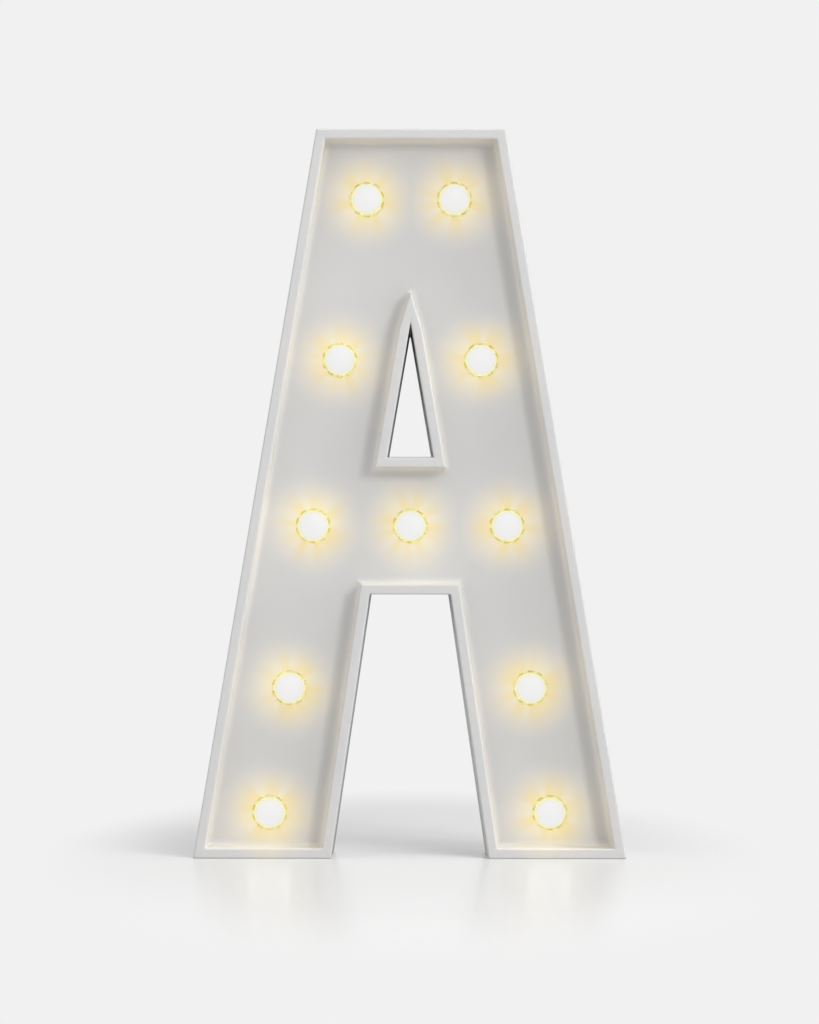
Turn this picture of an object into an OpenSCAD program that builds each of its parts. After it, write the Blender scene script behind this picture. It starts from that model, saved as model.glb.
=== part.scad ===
// Light-up letter A: a white moulded letter with a raised rim round a recessed face, lit by frosted
// bulbs and run by two cells behind a hinged door in its back.
// Millimetres. +Z is up, the lit face looks along -Y, and the feet stand on Z = 0.

/* [Letter] */
// Height of the letter
letter_h = 220; // [208:1:260]
// Width across the outside of the feet
foot_w = 130.6; // [124:0.2:150]
// Width of the flat top
top_w = 57; // [53:0.5:70]
// Depth from the front of the rim to the back edge
letter_d = 45; // [42:0.5:60]
// Distance of the back edge behind the origin
back_y = 22.5; // [20:0.5:30]
// Width of the gap between the feet
arch_foot_w = 47.6; // [40:0.2:52]
// Width of the gap at the top of the arch
arch_top_w = 24.4; // [20:0.2:28]
// Height of the middle of the crossbar
bar_z = 100.3; // [94:0.1:106]
// Width of the window's base
window_w = 14; // [12:0.1:16]
// Height of the window from its base to its apex
window_h = 40.8; // [36:0.2:46]

/* [Moulding] */
// Width of the rim
rim_w = 3.1; // [2:0.1:3.5]
// How much the recess narrows between the rim and the face
recess_draft = 0.2; // [0.1:0.1:1.5]
// How much the arch and the window narrow from the rim to the back edge
opening_draft = 0.5; // [0:0.1:0.8]
// Radius of the rim's outer edge
rim_edge_r = 0.5; // [0.3:0.1:1]
// Radius of the rim's inner edge
rim_inner_r = 0.6; // [0.2:0.1:0.8]
// Rise of the point of the window's rim above the window
window_tip_rise = 9.3; // [8.5:0.1:11]
// Length over which the window's rim narrows to its point
window_tip_l = 11.7; // [10:0.1:14]
// Radius of the back edge
back_edge_r = 0.4; // [0.2:0.1:0.8]
// Thickness of the face
face_t = 2; // [1.6:0.1:2.6]
// Thickness of the walls behind the face
wall_t = 2; // [1.6:0.1:2.6]
// Depth of the back cover below the back edge
back_lip = 2; // [1.8:0.1:3]
// Thickness of the back cover and the battery door
cover_t = 2; // [1.7:0.1:2.6]
// Gap between the back cover and the walls round it
cover_gap = 0.25; // [0.1:0.05:0.5]
// Radius of a screw boss
boss_r = 3; // [2.6:0.1:3.5]

/* [Bulbs] */
// Height of the lowest bulbs
foot_bulb_z = 13.4; // [11:0.1:18]
// Drop from the crossbar's bulbs to the pair below
lower_bulb_drop = 49.1; // [44:0.1:54]
// Distance of the crossbar's outer bulbs from the middle
bar_bulb_x = 29.4; // [28:0.1:31]
// Rise from the crossbar's bulbs to the pair above
upper_bulb_rise = 50.2; // [46:0.1:54]
// Drop from the top of the letter to the top bulbs
top_bulb_drop = 20.8; // [16:0.1:26]
// Distance of the upper bulbs from the letter's outer edge
bulb_inset = 18.7; // [17.5:0.1:20]
// Diameter of a bulb's dome
dome_d = 9.2; // [8.6:0.1:10]
// Height of a dome above the face
dome_h = 8.2; // [7.4:0.1:10]
// Wall of a dome
dome_t = 0.9; // [0.7:0.1:1.1]
// Wall of the toothed ring round a dome
ring_t = 0.6; // [0.4:0.05:0.8]
// Height of the toothed ring above the face
ring_h = 1.4; // [1:0.1:2]
// Number of notches in the ring
notch_count = 10; // [4:1:12]
// Width of a notch
notch_w = 1.4; // [0.8:0.1:1.8]
// Wall of a socket's barrel
socket_t = 1.1; // [0.9:0.1:1.2]
// Length of a socket behind the face
socket_tail = 2.4; // [2:0.1:3]
// Gap round a socket in its hole and round a dome in its ring
socket_fit = 0.1; // [0.05:0.05:0.2]
// Diameter of an LED
led_d = 5; // [4.6:0.1:5.2]
// Height of an LED with its flange
led_h = 8.6; // [8:0.1:9]
// Width of the flange round an LED's foot
led_flange = 0.4; // [0.3:0.1:0.6]
// Thickness of an LED's flange
led_flange_t = 1; // [0.8:0.1:1.2]
// Distance between an LED's leads
lead_pitch = 2.54; // [2:0.02:3]
// Thickness of a lead
lead_t = 0.5; // [0.4:0.1:0.6]
// Length of the longer lead
lead_plus_l = 2.8; // [2.6:0.1:3.2]
// Length of the shorter lead
lead_minus_l = 1.6; // [1.2:0.1:1.7]

/* [Cells] */
// Diameter of a cell
cell_d = 14.5; // [13.5:0.1:15]
// Length of a cell with its button
cell_l = 50.5; // [48:0.5:52]
// Diameter of a cell's button
button_d = 5.5; // [5:0.1:6]
// Height of a cell's button
button_h = 1.2; // [1:0.1:1.6]
// Gap between the two cells
cell_apart = 0.7; // [0.5:0.1:1.5]
// Gap between a cell and the tray or door
cell_room = 0.3; // [0.2:0.05:0.6]
// Thickness of the tray's walls
tray_t = 1.3; // [1:0.1:1.6]
// Gap between the tray and the LED wires in front of it
tray_gap = 2.3; // [0.5:0.1:4]
// Thickness of the contact plates
contact_t = 0.4; // [0.3:0.05:0.6]
// Size of a contact plate
contact_w = 12; // [10:0.1:13]
// Rise of the dimple that meets a cell's button
dimple_h = 0.5; // [0.3:0.1:0.8]
// Length of a pressed contact spring
spring_l = 6; // [5.5:0.1:8]
// Radius of a spring at its plate
spring_foot_r = 4.6; // [4:0.1:5]
// Radius of a spring at its cell
spring_tip_r = 2.8; // [2.2:0.1:3.4]
// Diameter of the spring wire
spring_wire_d = 0.7; // [0.5:0.1:0.8]
// Turns of a spring
spring_turns = 3.5; // [2.5:0.5:3.5]

/* [Back] */
// Width of cover left above and below the battery opening
cover_strip = 2.75; // [2:0.05:4]
// Gap round the battery door
door_gap = 0.3; // [0.2:0.05:0.5]
// Width of the ledge that the door's ends rest on
door_ledge = 2.1; // [1.5:0.1:3]
// Radius of the door's hinge barrel
barrel_r = 1.4; // [1.1:0.1:1.6]
// Radius of the door's hinge pegs
peg_r = 0.9; // [0.6:0.05:1]
// Length of a hinge peg
peg_l = 2; // [1.5:0.1:3]
// Gap round a hinge peg in its hole
peg_fit = 0.05; // [0.02:0.01:0.1]
// Width of the door's tongue
tongue_w = 12; // [8:0.5:16]
// Length of the door's tongue
tongue_l = 9; // [6:0.5:11]
// Distance of the hangers from the middle
hanger_x = 16; // [14:0.5:17]
// Drop from the top of the letter to the hangers
hanger_drop = 26; // [22:0.5:30]
// Radius of a hanger's round hole
hanger_r = 4.2; // [3.8:0.1:4.6]
// Width of a hanger's slot
hanger_slot_w = 4.4; // [3.6:0.1:4.6]
// Length of a hanger's slot
hanger_slot_l = 7; // [6:0.5:9]
// Distance of the cover screws from the outer edge
screw_inset = 8.5; // [7.5:0.1:9]
// Distance of the end screws from the top and the floor
screw_edge = 8; // [7:0.5:10]
// Radius of a cover screw's shank
screw_r = 1.1; // [0.9:0.05:1.3]
// Length of a cover screw's shank
screw_l = 12; // [8:0.5:16]
// Radius of a cover screw's head
screw_head_r = 2.5; // [2.2:0.1:3]
// Height of a screw's head
screw_head_h = 1.4; // [1.1:0.1:1.6]

/* [Switch] */
// Rise from the window's tip to the middle of the switch
switch_rise = 12; // [10:0.5:16]
// Length of the switch's can
can_l = 13; // [12:0.1:14]
// Width of the switch's can
can_w = 6.4; // [5.8:0.1:7]
// Depth of the switch's can
can_h = 4.6; // [4.2:0.1:5.2]
// Thickness of the can's sheet
can_t = 0.4; // [0.3:0.05:0.5]
// Length of the can's flange
flange_l = 21; // [20:0.5:22]
// Thickness of the switch's base board
base_t = 1.2; // [1:0.1:1.6]
// Length of the knob
knob_l = 4; // [3.4:0.1:4.4]
// Width of the knob
knob_w = 3.2; // [2.6:0.1:3.6]
// Rise of the knob above the cover
knob_rise = 1.4; // [1:0.1:1.6]
// Travel of the knob
knob_travel = 3; // [2:0.1:3.4]
// Gap round the knob
knob_gap = 0.3; // [0.2:0.05:0.4]
// Radius of a switch screw's shank
switch_screw_r = 0.9; // [0.7:0.05:1]

/* [Wires] */
// Diameter of a wire
wire_d = 1; // [0.8:0.1:1.1]
// Gap between a wire's end and what it is soldered to
solder_gap = 0.1; // [0.05:0.05:0.2]

/* [Hidden] */
$fn = 48;
// Steps in a rounded edge, and in a round cap
edge_steps = 5;
tip_steps = 8;
// Overshoot of cuts past the faces they open
over = 1;

// Depths along Y: the back stays in place, and a deeper letter has a deeper recess
y_front = back_y - letter_d;
cover_out_y = back_y - back_lip;
cover_in_y = cover_out_y - cover_t;

// Cell bay and battery opening in the crossbar
hinge_room = 1;
bay_h = 2 * cell_d + cell_apart + 2 * cell_room;
bay_l = cell_l + 2 * contact_t + dimple_h + spring_l + 2 * solder_gap;
open_h = bay_h + hinge_room;
open_z0 = bar_z - open_h / 2;
open_z1 = open_z0 + open_h;
bay_z0 = open_z0;
bay_z1 = bay_z0 + bay_h;
open_x = bay_l / 2 + door_ledge;
cell_y = cover_in_y - cell_room - cell_d / 2;
bay_floor_y = cell_y - cell_d / 2 - cell_room;
tray_x = open_x + tray_t;
tray_y = bay_floor_y - tray_t;
cell_1_z = bay_z1 - cell_room - cell_d / 2;
cell_2_z = bay_z0 + cell_room + cell_d / 2;

// The face stands in front of the tray by what the LEDs and their wires take
wiring_d = socket_tail + led_flange_t + lead_plus_l + solder_gap + wire_d + tray_gap;
face_back_y = tray_y - wiring_d;
face_y = face_back_y - face_t;

// The crossbar leaves room for the opening between the arch below it and the window above it
bar_margin = cover_strip + cover_gap + wall_t;
arch_h = open_z0 - bar_margin;
window_z = open_z1 + bar_margin;

// Half widths of the letter and of the arch at a height
function outer_x(z) = foot_w / 2 - (foot_w - top_w) / 2 * z / letter_h;
function arch_x(z) = arch_foot_w / 2 - (arch_foot_w - arch_top_w) / 2 * z / arch_h;
function leg_middle(z) = (outer_x(z) + arch_x(z)) / 2;

// Outline of the letter as [x, z], counter-clockwise seen from the front
letter_outline = [
  [-foot_w / 2, 0],
  [-arch_foot_w / 2, 0],
  [-arch_top_w / 2, arch_h],
  [arch_top_w / 2, arch_h],
  [arch_foot_w / 2, 0],
  [foot_w / 2, 0],
  [top_w / 2, letter_h],
  [-top_w / 2, letter_h]
];

function unit(v) = v / norm(v);
function leftward(a, b) = let (along = unit(b - a)) [-along[1], along[0]];

// An outline moved inwards by d, with its corners kept sharp
function inset(outline, d) = let (n = len(outline)) [
  for (i = [0:n - 1])
    let (before = leftward(outline[(i + n - 1) % n], outline[i]))
    let (after = leftward(outline[i], outline[(i + 1) % n]))
    outline[i] + d * (before + after) / (1 + before * after)
];

// The window is a tall triangle, and d grows it outwards
window_slope = window_w / 2 / window_h;
window_sec = sqrt(1 + window_slope * window_slope);
window_rise = window_sec / window_slope;
function window_foot(d) = let (x = window_w / 2 + d * (window_sec + window_slope)) [
  [-x, window_z - d],
  [x, window_z - d]
];
function window_outline(d) = concat(window_foot(d), [[0, window_z + window_h + d * window_rise]]);

// The window's rim runs beside it, and is drawn to a point above it
function mirrored(p) = [-p[0], p[1]];
tip_z = window_z + window_h + window_tip_rise;
shoulder_z = tip_z - window_tip_l;
shoulder = [(window_z + window_h - shoulder_z) * window_slope + rim_w * window_sec, shoulder_z];
rim_outline = concat(window_foot(rim_w), [shoulder, [0, tip_z], mirrored(shoulder)]);
tube_outline = inset(rim_outline, rim_w - wall_t);
tube_tip_z = tube_outline[3][1];

// Levels of the letter's solids as [inset, y], from front to back, with quarter-round edges
function edge_in(r, k) = r * (1 - sin(90 * k / edge_steps));
function edge_down(r, k) = r * (1 - cos(90 * k / edge_steps));
edge_levels = concat(
  [for (k = [0:edge_steps]) [edge_in(rim_edge_r, k), y_front + edge_down(rim_edge_r, k)]],
  [for (k = [0:edge_steps]) [edge_down(back_edge_r, k), back_y - edge_in(back_edge_r, k)]]
);
recess_levels = concat(
  [for (k = [0:edge_steps]) [rim_w - edge_in(rim_inner_r, k), y_front + edge_down(rim_inner_r, k)]],
  [[rim_w + recess_draft, face_y]]
);

// The arch and the window narrow by d, which grows from the rim to the back edge
arch_slope = (arch_foot_w - arch_top_w) / 2 / arch_h;
arch_sec = sqrt(1 + arch_slope * arch_slope);
function draft_at(y) = opening_draft * (y - y_front) / letter_d;
function narrowed_x(z, d) = arch_x(z) - d * arch_sec;
function narrowed_outline(d) = [
  letter_outline[0],
  [-narrowed_x(0, d), 0],
  [-narrowed_x(arch_h - d, d), arch_h - d],
  [narrowed_x(arch_h - d, d), arch_h - d],
  [narrowed_x(0, d), 0],
  letter_outline[5],
  letter_outline[6],
  letter_outline[7]
];

// Bulb centres as [x, z], in the order in which the wires reach them
foot_bulb = [leg_middle(foot_bulb_z), foot_bulb_z];
lower_bulb_z = bar_z - lower_bulb_drop;
upper_bulb_z = bar_z + upper_bulb_rise;
top_bulb_z = letter_h - top_bulb_drop;
lower_bulb = [leg_middle(lower_bulb_z), lower_bulb_z];
bar_bulb = [bar_bulb_x, bar_z];
upper_bulb = [outer_x(upper_bulb_z) - bulb_inset, upper_bulb_z];
top_bulb = [outer_x(top_bulb_z) - bulb_inset, top_bulb_z];
bulbs = [
  mirrored(foot_bulb),
  mirrored(lower_bulb),
  mirrored(bar_bulb),
  mirrored(upper_bulb),
  mirrored(top_bulb),
  top_bulb,
  upper_bulb,
  bar_bulb,
  [0, bar_z],
  lower_bulb,
  foot_bulb
];
bulb_count = len(bulbs);

// Bulb sizes along the bulb's own axis, where 0 is the front of the face and + is forwards
dome_r = dome_d / 2;
hole_r = dome_r + socket_fit;
ring_r = hole_r + ring_t;
seat_h = 0.4;
socket_bore_r = dome_r - socket_t;
socket_end = -face_t - socket_tail;
socket_back_t = 1.4;
bead_h = 0.8;
bead_rise = 0.35;
spigot_r = socket_bore_r - socket_fit;
spigot_t = 0.6;
spigot_l = 1.2;
led_bore_r = led_d / 2 + socket_fit;
led_foot = socket_end - led_flange_t;

// Cover screws as [x, z]
screw_rows = [
  screw_edge,
  bar_z - lower_bulb_drop / 2,
  bar_z + upper_bulb_rise / 2,
  letter_h - screw_edge
];
screw_places = [for (z = screw_rows) for (side = [-1, 1]) [side * (outer_x(z) - screw_inset), z]];
screw_fit = 0.1;
screw_hole_room = 0.4;
screw_end_room = 1;

// Door hinge, along X
barrel_sink = 0.1;
barrel_room = 0.8 * door_gap;
hinge_y = cover_out_y - barrel_r - barrel_sink;
hinge_z = open_z1 - door_gap - barrel_r;
door_x = open_x - door_gap;
door_z0 = open_z0 + door_gap;
ear_l = peg_l + 1;
ear_w = 5;
ear_d = 1.6;
tongue_slot_w = 1;
nose_gap = 0.1;
ridge_h = 0.6;
ridge_w = 1;
ridge_step = 2.2;
ridge_edge = 1;

// Switch, behind the cover above the window
switch_z = tube_tip_z + switch_rise;
flange_t = can_t;
can_front_y = cover_in_y - flange_t - can_h;
can_z0 = switch_z - can_w / 2;
can_z1 = switch_z + can_w / 2;
base_y = can_front_y - base_t;
terminal_pitch = 3.5;
terminal_w = 1.2;
terminal_t = 0.5;
terminal_l = 3.6;
terminal_y = base_y - terminal_l;
slider_wing = 1;
slider_room = 1;
slider_l = knob_l + 2 * slider_wing;
slider_w = can_w - 2 * can_t - 2 * knob_gap;
slider_h = can_h - 2 * can_t - slider_room;
knob_x = -knob_travel / 2;
window_slot_l = knob_l + knob_travel + 2 * knob_gap;
switch_screw_x = (can_l + flange_l) / 4;
switch_screw_places = [for (side = [-1, 1]) [side * switch_screw_x, switch_z]];
switch_screw_end = 1;
switch_screw_l = cover_t + flange_t + switch_screw_end;
switch_head_r = 1.7;
mark_h = 0.4;
mark_r = 1.6;
mark_w = 0.5;
mark_rise = can_w / 2 + mark_r;

// Wires: each run lies just past the ends of the leads it joins
wire_r = wire_d / 2;
wire_sides = 8;
lead_foot_y = face_y - led_foot;
minus_y = lead_foot_y + lead_minus_l + solder_gap + wire_r;
plus_y = lead_foot_y + lead_plus_l + solder_gap + wire_r;
minus_drop = wire_d;
guide_room = 8 * wire_d;
wire_guide = [arch_top_w / 2 + wall_t + guide_room, arch_h + wall_t + guide_room];
wire_stops = concat([for (i = [0:8]) bulbs[i]], [wire_guide], [for (i = [9:10]) bulbs[i]]);
plus_route = [for (p = wire_stops) [p[0] - lead_pitch / 2, plus_y, p[1]]];
minus_route = [for (p = wire_stops) [p[0] + lead_pitch / 2, minus_y, p[1] - minus_drop]];
tab_l = 1.6;
tab_w = 2;
tab_x = tray_x + tab_l;
tab_end_x = tab_x + solder_gap;
switch_wire_y = terminal_y - solder_gap;
led_plus_x = top_bulb[0] - lead_pitch / 2;
led_minus_x = lower_bulb[0] + lead_pitch / 2;
led_minus_z = lower_bulb_z - minus_drop;
plus_joint = [tab_end_x, cell_y, cell_1_z];
minus_joint = [tab_end_x, cell_y, cell_2_z];
input_joint = [0, switch_wire_y, switch_z];
output_joint = [terminal_pitch, switch_wire_y, switch_z];
led_plus_joint = [led_plus_x, plus_y + wire_r + solder_gap, top_bulb_z];
led_minus_joint = [led_minus_x, minus_y + wire_r + solder_gap, led_minus_z];
cells_to_switch_route = [
  plus_joint,
  plus_joint + wire_d * [2, 0, 0],
  plus_joint + wire_d * [2, 0, 6],
  plus_joint + wire_d * [-5, 0, 17],
  plus_joint + wire_d * [-14, -2, 39],
  input_joint + wire_d * [10, -4, -14],
  input_joint + wire_d * [2, -4, -4],
  input_joint + wire_d * [0, -2, 0],
  input_joint
];
switch_to_leds_route = [
  output_joint,
  output_joint + wire_d * [0, -2, 0],
  output_joint + wire_d * [2, -4, 5],
  led_plus_joint + wire_d * [0, 4, -2],
  led_plus_joint + wire_d * [0, 2, 0],
  led_plus_joint
];
cells_to_leds_route = [
  minus_joint,
  minus_joint + wire_d * [2, 0, 0],
  minus_joint + wire_d * [3, -2, -10],
  led_minus_joint + wire_d * [0, 6, 15],
  led_minus_joint + wire_d * [0, 4, 1],
  led_minus_joint + wire_d * [0, 2, 0],
  led_minus_joint
];

// A smooth curve through the stops of a route, with a few points between each two
route_steps = 5;
function stop_slope(stops, i) = (stops[min(i + 1, len(stops) - 1)] - stops[max(i - 1, 0)]) / 2;
function between(stops, i, t) =
  stops[i] * (2 * t ^ 3 - 3 * t ^ 2 + 1)
  + stop_slope(stops, i) * (t ^ 3 - 2 * t ^ 2 + t)
  + stops[i + 1] * (3 * t ^ 2 - 2 * t ^ 3)
  + stop_slope(stops, i + 1) * (t ^ 3 - t ^ 2);
function smooth_route(stops) = concat(
  [for (i = [0:len(stops) - 2]) for (k = [0:route_steps - 1]) between(stops, i, k / route_steps)],
  [stops[len(stops) - 1]]
);

// A contact spring is a cone of wire along +X from its plate, with a straight end at each side
spring_sides = 6;
curl_rings = 8;
spring_steps = spring_turns * curl_rings;
spring_path = concat(
  [[0, spring_foot_r, 0]],
  [
    for (k = [0:spring_steps])
      let (share = k / spring_steps)
      let (r = spring_foot_r + (spring_tip_r - spring_foot_r) * share)
      let (a = 360 * k / curl_rings)
      [spring_wire_d + (spring_l - 2 * spring_wire_d) * share, r * cos(a), r * sin(a)]
  ],
  [[spring_l, spring_tip_r * cos(360 * spring_turns), spring_tip_r * sin(360 * spring_turns)]]
);
spring_gap = min([
  for (i = [0:len(spring_path) - 1])
    for (j = [i + curl_rings - 2:1:len(spring_path) - 1])
      norm(spring_path[i] - spring_path[j])
]) - spring_wire_d;
echo(least_gap_between_spring_turns = spring_gap);

// Closed solid through a stack of outlines, each in its own plane of constant y, front to back.
// ends lists the convex parts of an outline, counter-clockwise, that close the first and the last.
module loft(rings, ys, ends) {
  n = len(rings[0]);
  last = len(rings) - 1;
  points = [for (k = [0:last]) for (p = rings[k]) [p[0], ys[k], p[1]]];
  sides = [
    for (k = [0:last - 1])
      for (i = [0:n - 1])
        [k * n + i, k * n + (i + 1) % n, (k + 1) * n + (i + 1) % n, (k + 1) * n + i]
  ];
  front = [for (end = ends) [for (i = [len(end) - 1:-1:0]) end[i]]];
  back = [for (end = ends) [for (i = end) last * n + i]];
  polyhedron(points, concat(front, sides, back));
}

// Solid through a stack of outlines that each have the letter's eight corners
module letter_loft(rings, ys) {
  left_leg = [0, 1, 2, 7];
  middle = [2, 3, 6, 7];
  right_leg = [3, 4, 5, 6];
  loft(rings, ys, [left_leg, middle, right_leg]);
}

// Flat plate of an outline between two depths
module plate(outline, y0, y1) {
  translate([0, y1, 0])
    rotate([90, 0, 0])
      linear_extrude(y1 - y0)
        polygon(outline);
}

// Box between two corners
module box(low, high) {
  translate(low)
    cube(high - low);
}

// Round bar along Y at [x, z]
module bar_y(place, y0, y1, r) {
  translate([place[0], y0, place[1]])
    rotate([-90, 0, 0])
      cylinder(h = y1 - y0, r = r);
}

// Round bar along X
module bar_x(x0, x1, y, z, r) {
  translate([x0, y, z])
    rotate([0, 90, 0])
      cylinder(h = x1 - x0, r = r);
}

// Round tube of wire along a path. Its rings are turned from one to the next, so that it doesn't twist,
// starting from a direction called first that isn't along the path's start.
function square_to(v, along) = unit(v - (v * along) * along);
module tube(path, r, sides, first) {
  last = len(path) - 1;
  ways = [for (i = [0:last]) unit(path[min(i + 1, last)] - path[max(i - 1, 0)])];
  turns = [
    for (
      i = 0, turn = square_to(first, ways[0]);
      i <= last;
      i = i + 1, turn = square_to(turn, ways[min(i, last)])
    )
      turn
  ];
  points = [
    for (i = [0:last])
      let (across = cross(ways[i], turns[i]))
      for (k = [0:sides - 1])
        path[i] + r * (turns[i] * cos(360 * k / sides) + across * sin(360 * k / sides))
  ];
  walls = [
    for (i = [0:last - 1])
      for (k = [0:sides - 1])
        let (a = i * sides + k)
        let (b = i * sides + (k + 1) % sides)
        each [[a, a + sides, b], [b, a + sides, b + sides]]
  ];
  start = [for (k = [1:sides - 2]) [0, k, k + 1]];
  end = [for (k = [1:sides - 2]) [last * sides, last * sides + k + 1, last * sides + k]];
  polyhedron(points, concat(start, walls, end));
}

// Puts a piece drawn round +Z on a bulb's axis, with +Z forwards
module at_bulb(i) {
  translate([bulbs[i][0], face_y, bulbs[i][1]])
    rotate([90, 0, 0])
      children();
}

module front_shell() {
  recess_cut = concat([[recess_levels[0][0], y_front - over]], recess_levels);
  window_cut = concat([[rim_edge_r, y_front - over]], edge_levels, [[back_edge_r, back_y + over]]);
  rim_levels = concat(recess_levels, [[rim_w + recess_draft, face_y + face_t / 2]]);
  shell_rings = [for (level = edge_levels) inset(narrowed_outline(draft_at(level[1])), level[0])];
  recess_rings = [for (level = recess_cut) inset(letter_outline, level[0])];
  rim_rings = [for (level = rim_levels) inset(rim_outline, rim_w - level[0])];
  window_rings = [for (level = window_cut) window_outline(level[0] - draft_at(level[1]))];
  color("white")
    difference() {
      union() {
        difference() {
          letter_loft(shell_rings, [for (level = edge_levels) level[1]]);
          letter_loft(recess_rings, [for (level = recess_cut) level[1]]);
          plate(inset(letter_outline, wall_t), face_back_y, back_y + over);
        }
        loft(rim_rings, [for (level = rim_levels) level[1]], [[0, 1, 2, 3, 4]]);
        plate(tube_outline, face_y + face_t / 2, back_y);
        for (place = screw_places)
          bar_y(place, face_y + face_t / 2, cover_in_y, boss_r);
      }
      loft(window_rings, [for (level = window_cut) level[1]], [[0, 1, 2]]);
      for (place = bulbs)
        bar_y(place, face_y - over, face_back_y + over, hole_r);
      for (place = screw_places)
        bar_y(place, cover_in_y - screw_l, cover_in_y + over, screw_r + screw_fit);
    }
}

module keyhole(side) {
  place = [side * hanger_x, letter_h - hanger_drop];
  y0 = cover_in_y - over;
  y1 = cover_out_y + over;
  bar_y(place, y0, y1, hanger_r);
  bar_y(place + [0, hanger_slot_l], y0, y1, hanger_slot_w / 2);
  box(
    [place[0] - hanger_slot_w / 2, y0, place[1]],
    [place[0] + hanger_slot_w / 2, y1, place[1] + hanger_slot_l]
  );
}

module switch_marks() {
  on_x = -terminal_pitch - mark_w;
  translate([on_x - mark_w / 2, cover_out_y, switch_z + mark_rise - mark_r])
    cube([mark_w, mark_h, 2 * mark_r]);
  difference() {
    bar_y([-on_x, switch_z + mark_rise], cover_out_y, cover_out_y + mark_h, mark_r);
    bar_y([-on_x, switch_z + mark_rise], cover_out_y - over, cover_out_y + over, mark_r - mark_w);
  }
}

module back_cover() {
  divider_h = cell_d / 4;
  divider_x = cell_l / 3;
  mid_z = (cell_1_z + cell_2_z) / 2;
  tab_gap = 0.3;
  color("white") {
    difference() {
      union() {
        difference() {
          plate(inset(letter_outline, wall_t + cover_gap), cover_in_y, cover_out_y);
          plate(inset(tube_outline, -cover_gap), cover_in_y - over, cover_out_y + over);
        }
        box([-tray_x, tray_y, open_z0 - tray_t], [tray_x, cover_in_y, open_z1 + tray_t]);
        for (side = [-1, 1])
          translate([side * (open_x + ear_l / 2) - ear_l / 2, cover_in_y - ear_d, hinge_z - ear_w / 2])
            cube([ear_l, ear_d, ear_w]);
      }
      box([-bay_l / 2, bay_floor_y, bay_z0], [bay_l / 2, cover_out_y + over, bay_z1]);
      box([-open_x, cover_in_y - door_gap, open_z0], [open_x, cover_out_y + over, open_z1]);
      bar_x(-open_x, open_x, hinge_y, hinge_z, barrel_r + barrel_room);
      bar_x(-open_x - peg_l, open_x + peg_l, hinge_y, hinge_z, peg_r + peg_fit);
      for (z = [cell_1_z, cell_2_z])
        box(
          [bay_l / 2 - over, cell_y - tab_w / 2 - tab_gap, z - contact_t / 2 - tab_gap],
          [tray_x + over, cell_y + tab_w / 2 + tab_gap, z + contact_t / 2 + tab_gap]
        );
      for (side = [-1, 1])
        keyhole(side);
      for (place = screw_places)
        bar_y(place, cover_in_y - over, cover_out_y + over, screw_r + screw_hole_room);
      for (place = switch_screw_places)
        bar_y(place, cover_in_y - over, cover_out_y + over, switch_screw_r + screw_fit);
      box(
        [-window_slot_l / 2, cover_in_y - over, switch_z - knob_w / 2 - knob_gap],
        [window_slot_l / 2, cover_out_y + over, switch_z + knob_w / 2 + knob_gap]
      );
    }
    box(
      [-divider_x, bay_floor_y - tray_t / 2, mid_z - cell_apart / 2],
      [divider_x, bay_floor_y + divider_h, mid_z + cell_apart / 2]
    );
    switch_marks();
  }
}

module battery_door() {
  nose = door_gap - nose_gap;
  color("white")
    difference() {
      union() {
        box([-door_x, cover_in_y, door_z0], [door_x, cover_out_y, hinge_z]);
        bar_x(-door_x, door_x, hinge_y, hinge_z, barrel_r);
        bar_x(-open_x - peg_l + door_gap, open_x + peg_l - door_gap, hinge_y, hinge_z, peg_r);
        box(
          [-tongue_w / 2 + tongue_slot_w, cover_in_y, door_z0 - nose],
          [tongue_w / 2 - tongue_slot_w, cover_in_y + cover_t / 2, door_z0 + over]
        );
        for (k = [0:2])
          translate([-tongue_w / 4, cover_out_y - ridge_h, door_z0 + ridge_edge + k * ridge_step])
            cube([tongue_w / 2, 2 * ridge_h, ridge_w]);
      }
      for (side = [-1, 1])
        translate([side * tongue_w / 2 - tongue_slot_w / 2, cover_in_y - over, door_z0 - over])
          cube([tongue_slot_w, cover_t + 2 * over, tongue_l + over]);
    }
}

// Pan-head screw along -Y with its head's seat at y = 0 and a cross slot in the head
module screw(r, l, head_r, head_h) {
  slot_w = head_r / 4;
  slot_l = head_r * 1.2;
  slot_d = head_h / 2;
  difference() {
    union() {
      bar_y([0, 0], -l, head_h / 2, r);
      bar_y([0, 0], 0, head_h, head_r);
    }
    for (a = [0, 90])
      rotate([0, a, 0])
        translate([-slot_l / 2, head_h - slot_d, -slot_w / 2])
          cube([slot_l, head_h, slot_w]);
  }
}

module cover_screws() {
  color("silver")
    for (place = screw_places)
      translate([place[0], cover_out_y, place[1]])
        screw(screw_r, cover_t + screw_l - screw_end_room, screw_head_r, screw_head_h);
}

module switch_screws() {
  color("silver")
    for (place = switch_screw_places)
      translate([place[0], cover_out_y, place[1]])
        screw(switch_screw_r, switch_screw_l, switch_head_r, screw_head_h);
}

module switch_frame() {
  flange_y = cover_in_y - flange_t;
  slot_x = window_slot_l / 2;
  slot_z = knob_w / 2 + knob_gap;
  color("lightgray")
    difference() {
      union() {
        box([-flange_l / 2, flange_y, can_z0], [flange_l / 2, cover_in_y, can_z1]);
        box([-can_l / 2, can_front_y, can_z0], [can_l / 2, cover_in_y, can_z1]);
      }
      box(
        [-can_l / 2 + can_t, can_front_y - over, can_z0 + can_t],
        [can_l / 2 - can_t, flange_y - can_t, can_z1 - can_t]
      );
      box([-slot_x, can_front_y, switch_z - slot_z], [slot_x, cover_in_y + over, switch_z + slot_z]);
      for (place = switch_screw_places)
        bar_y(place, flange_y - over, cover_in_y + over, switch_screw_r + screw_fit);
    }
}

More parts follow.
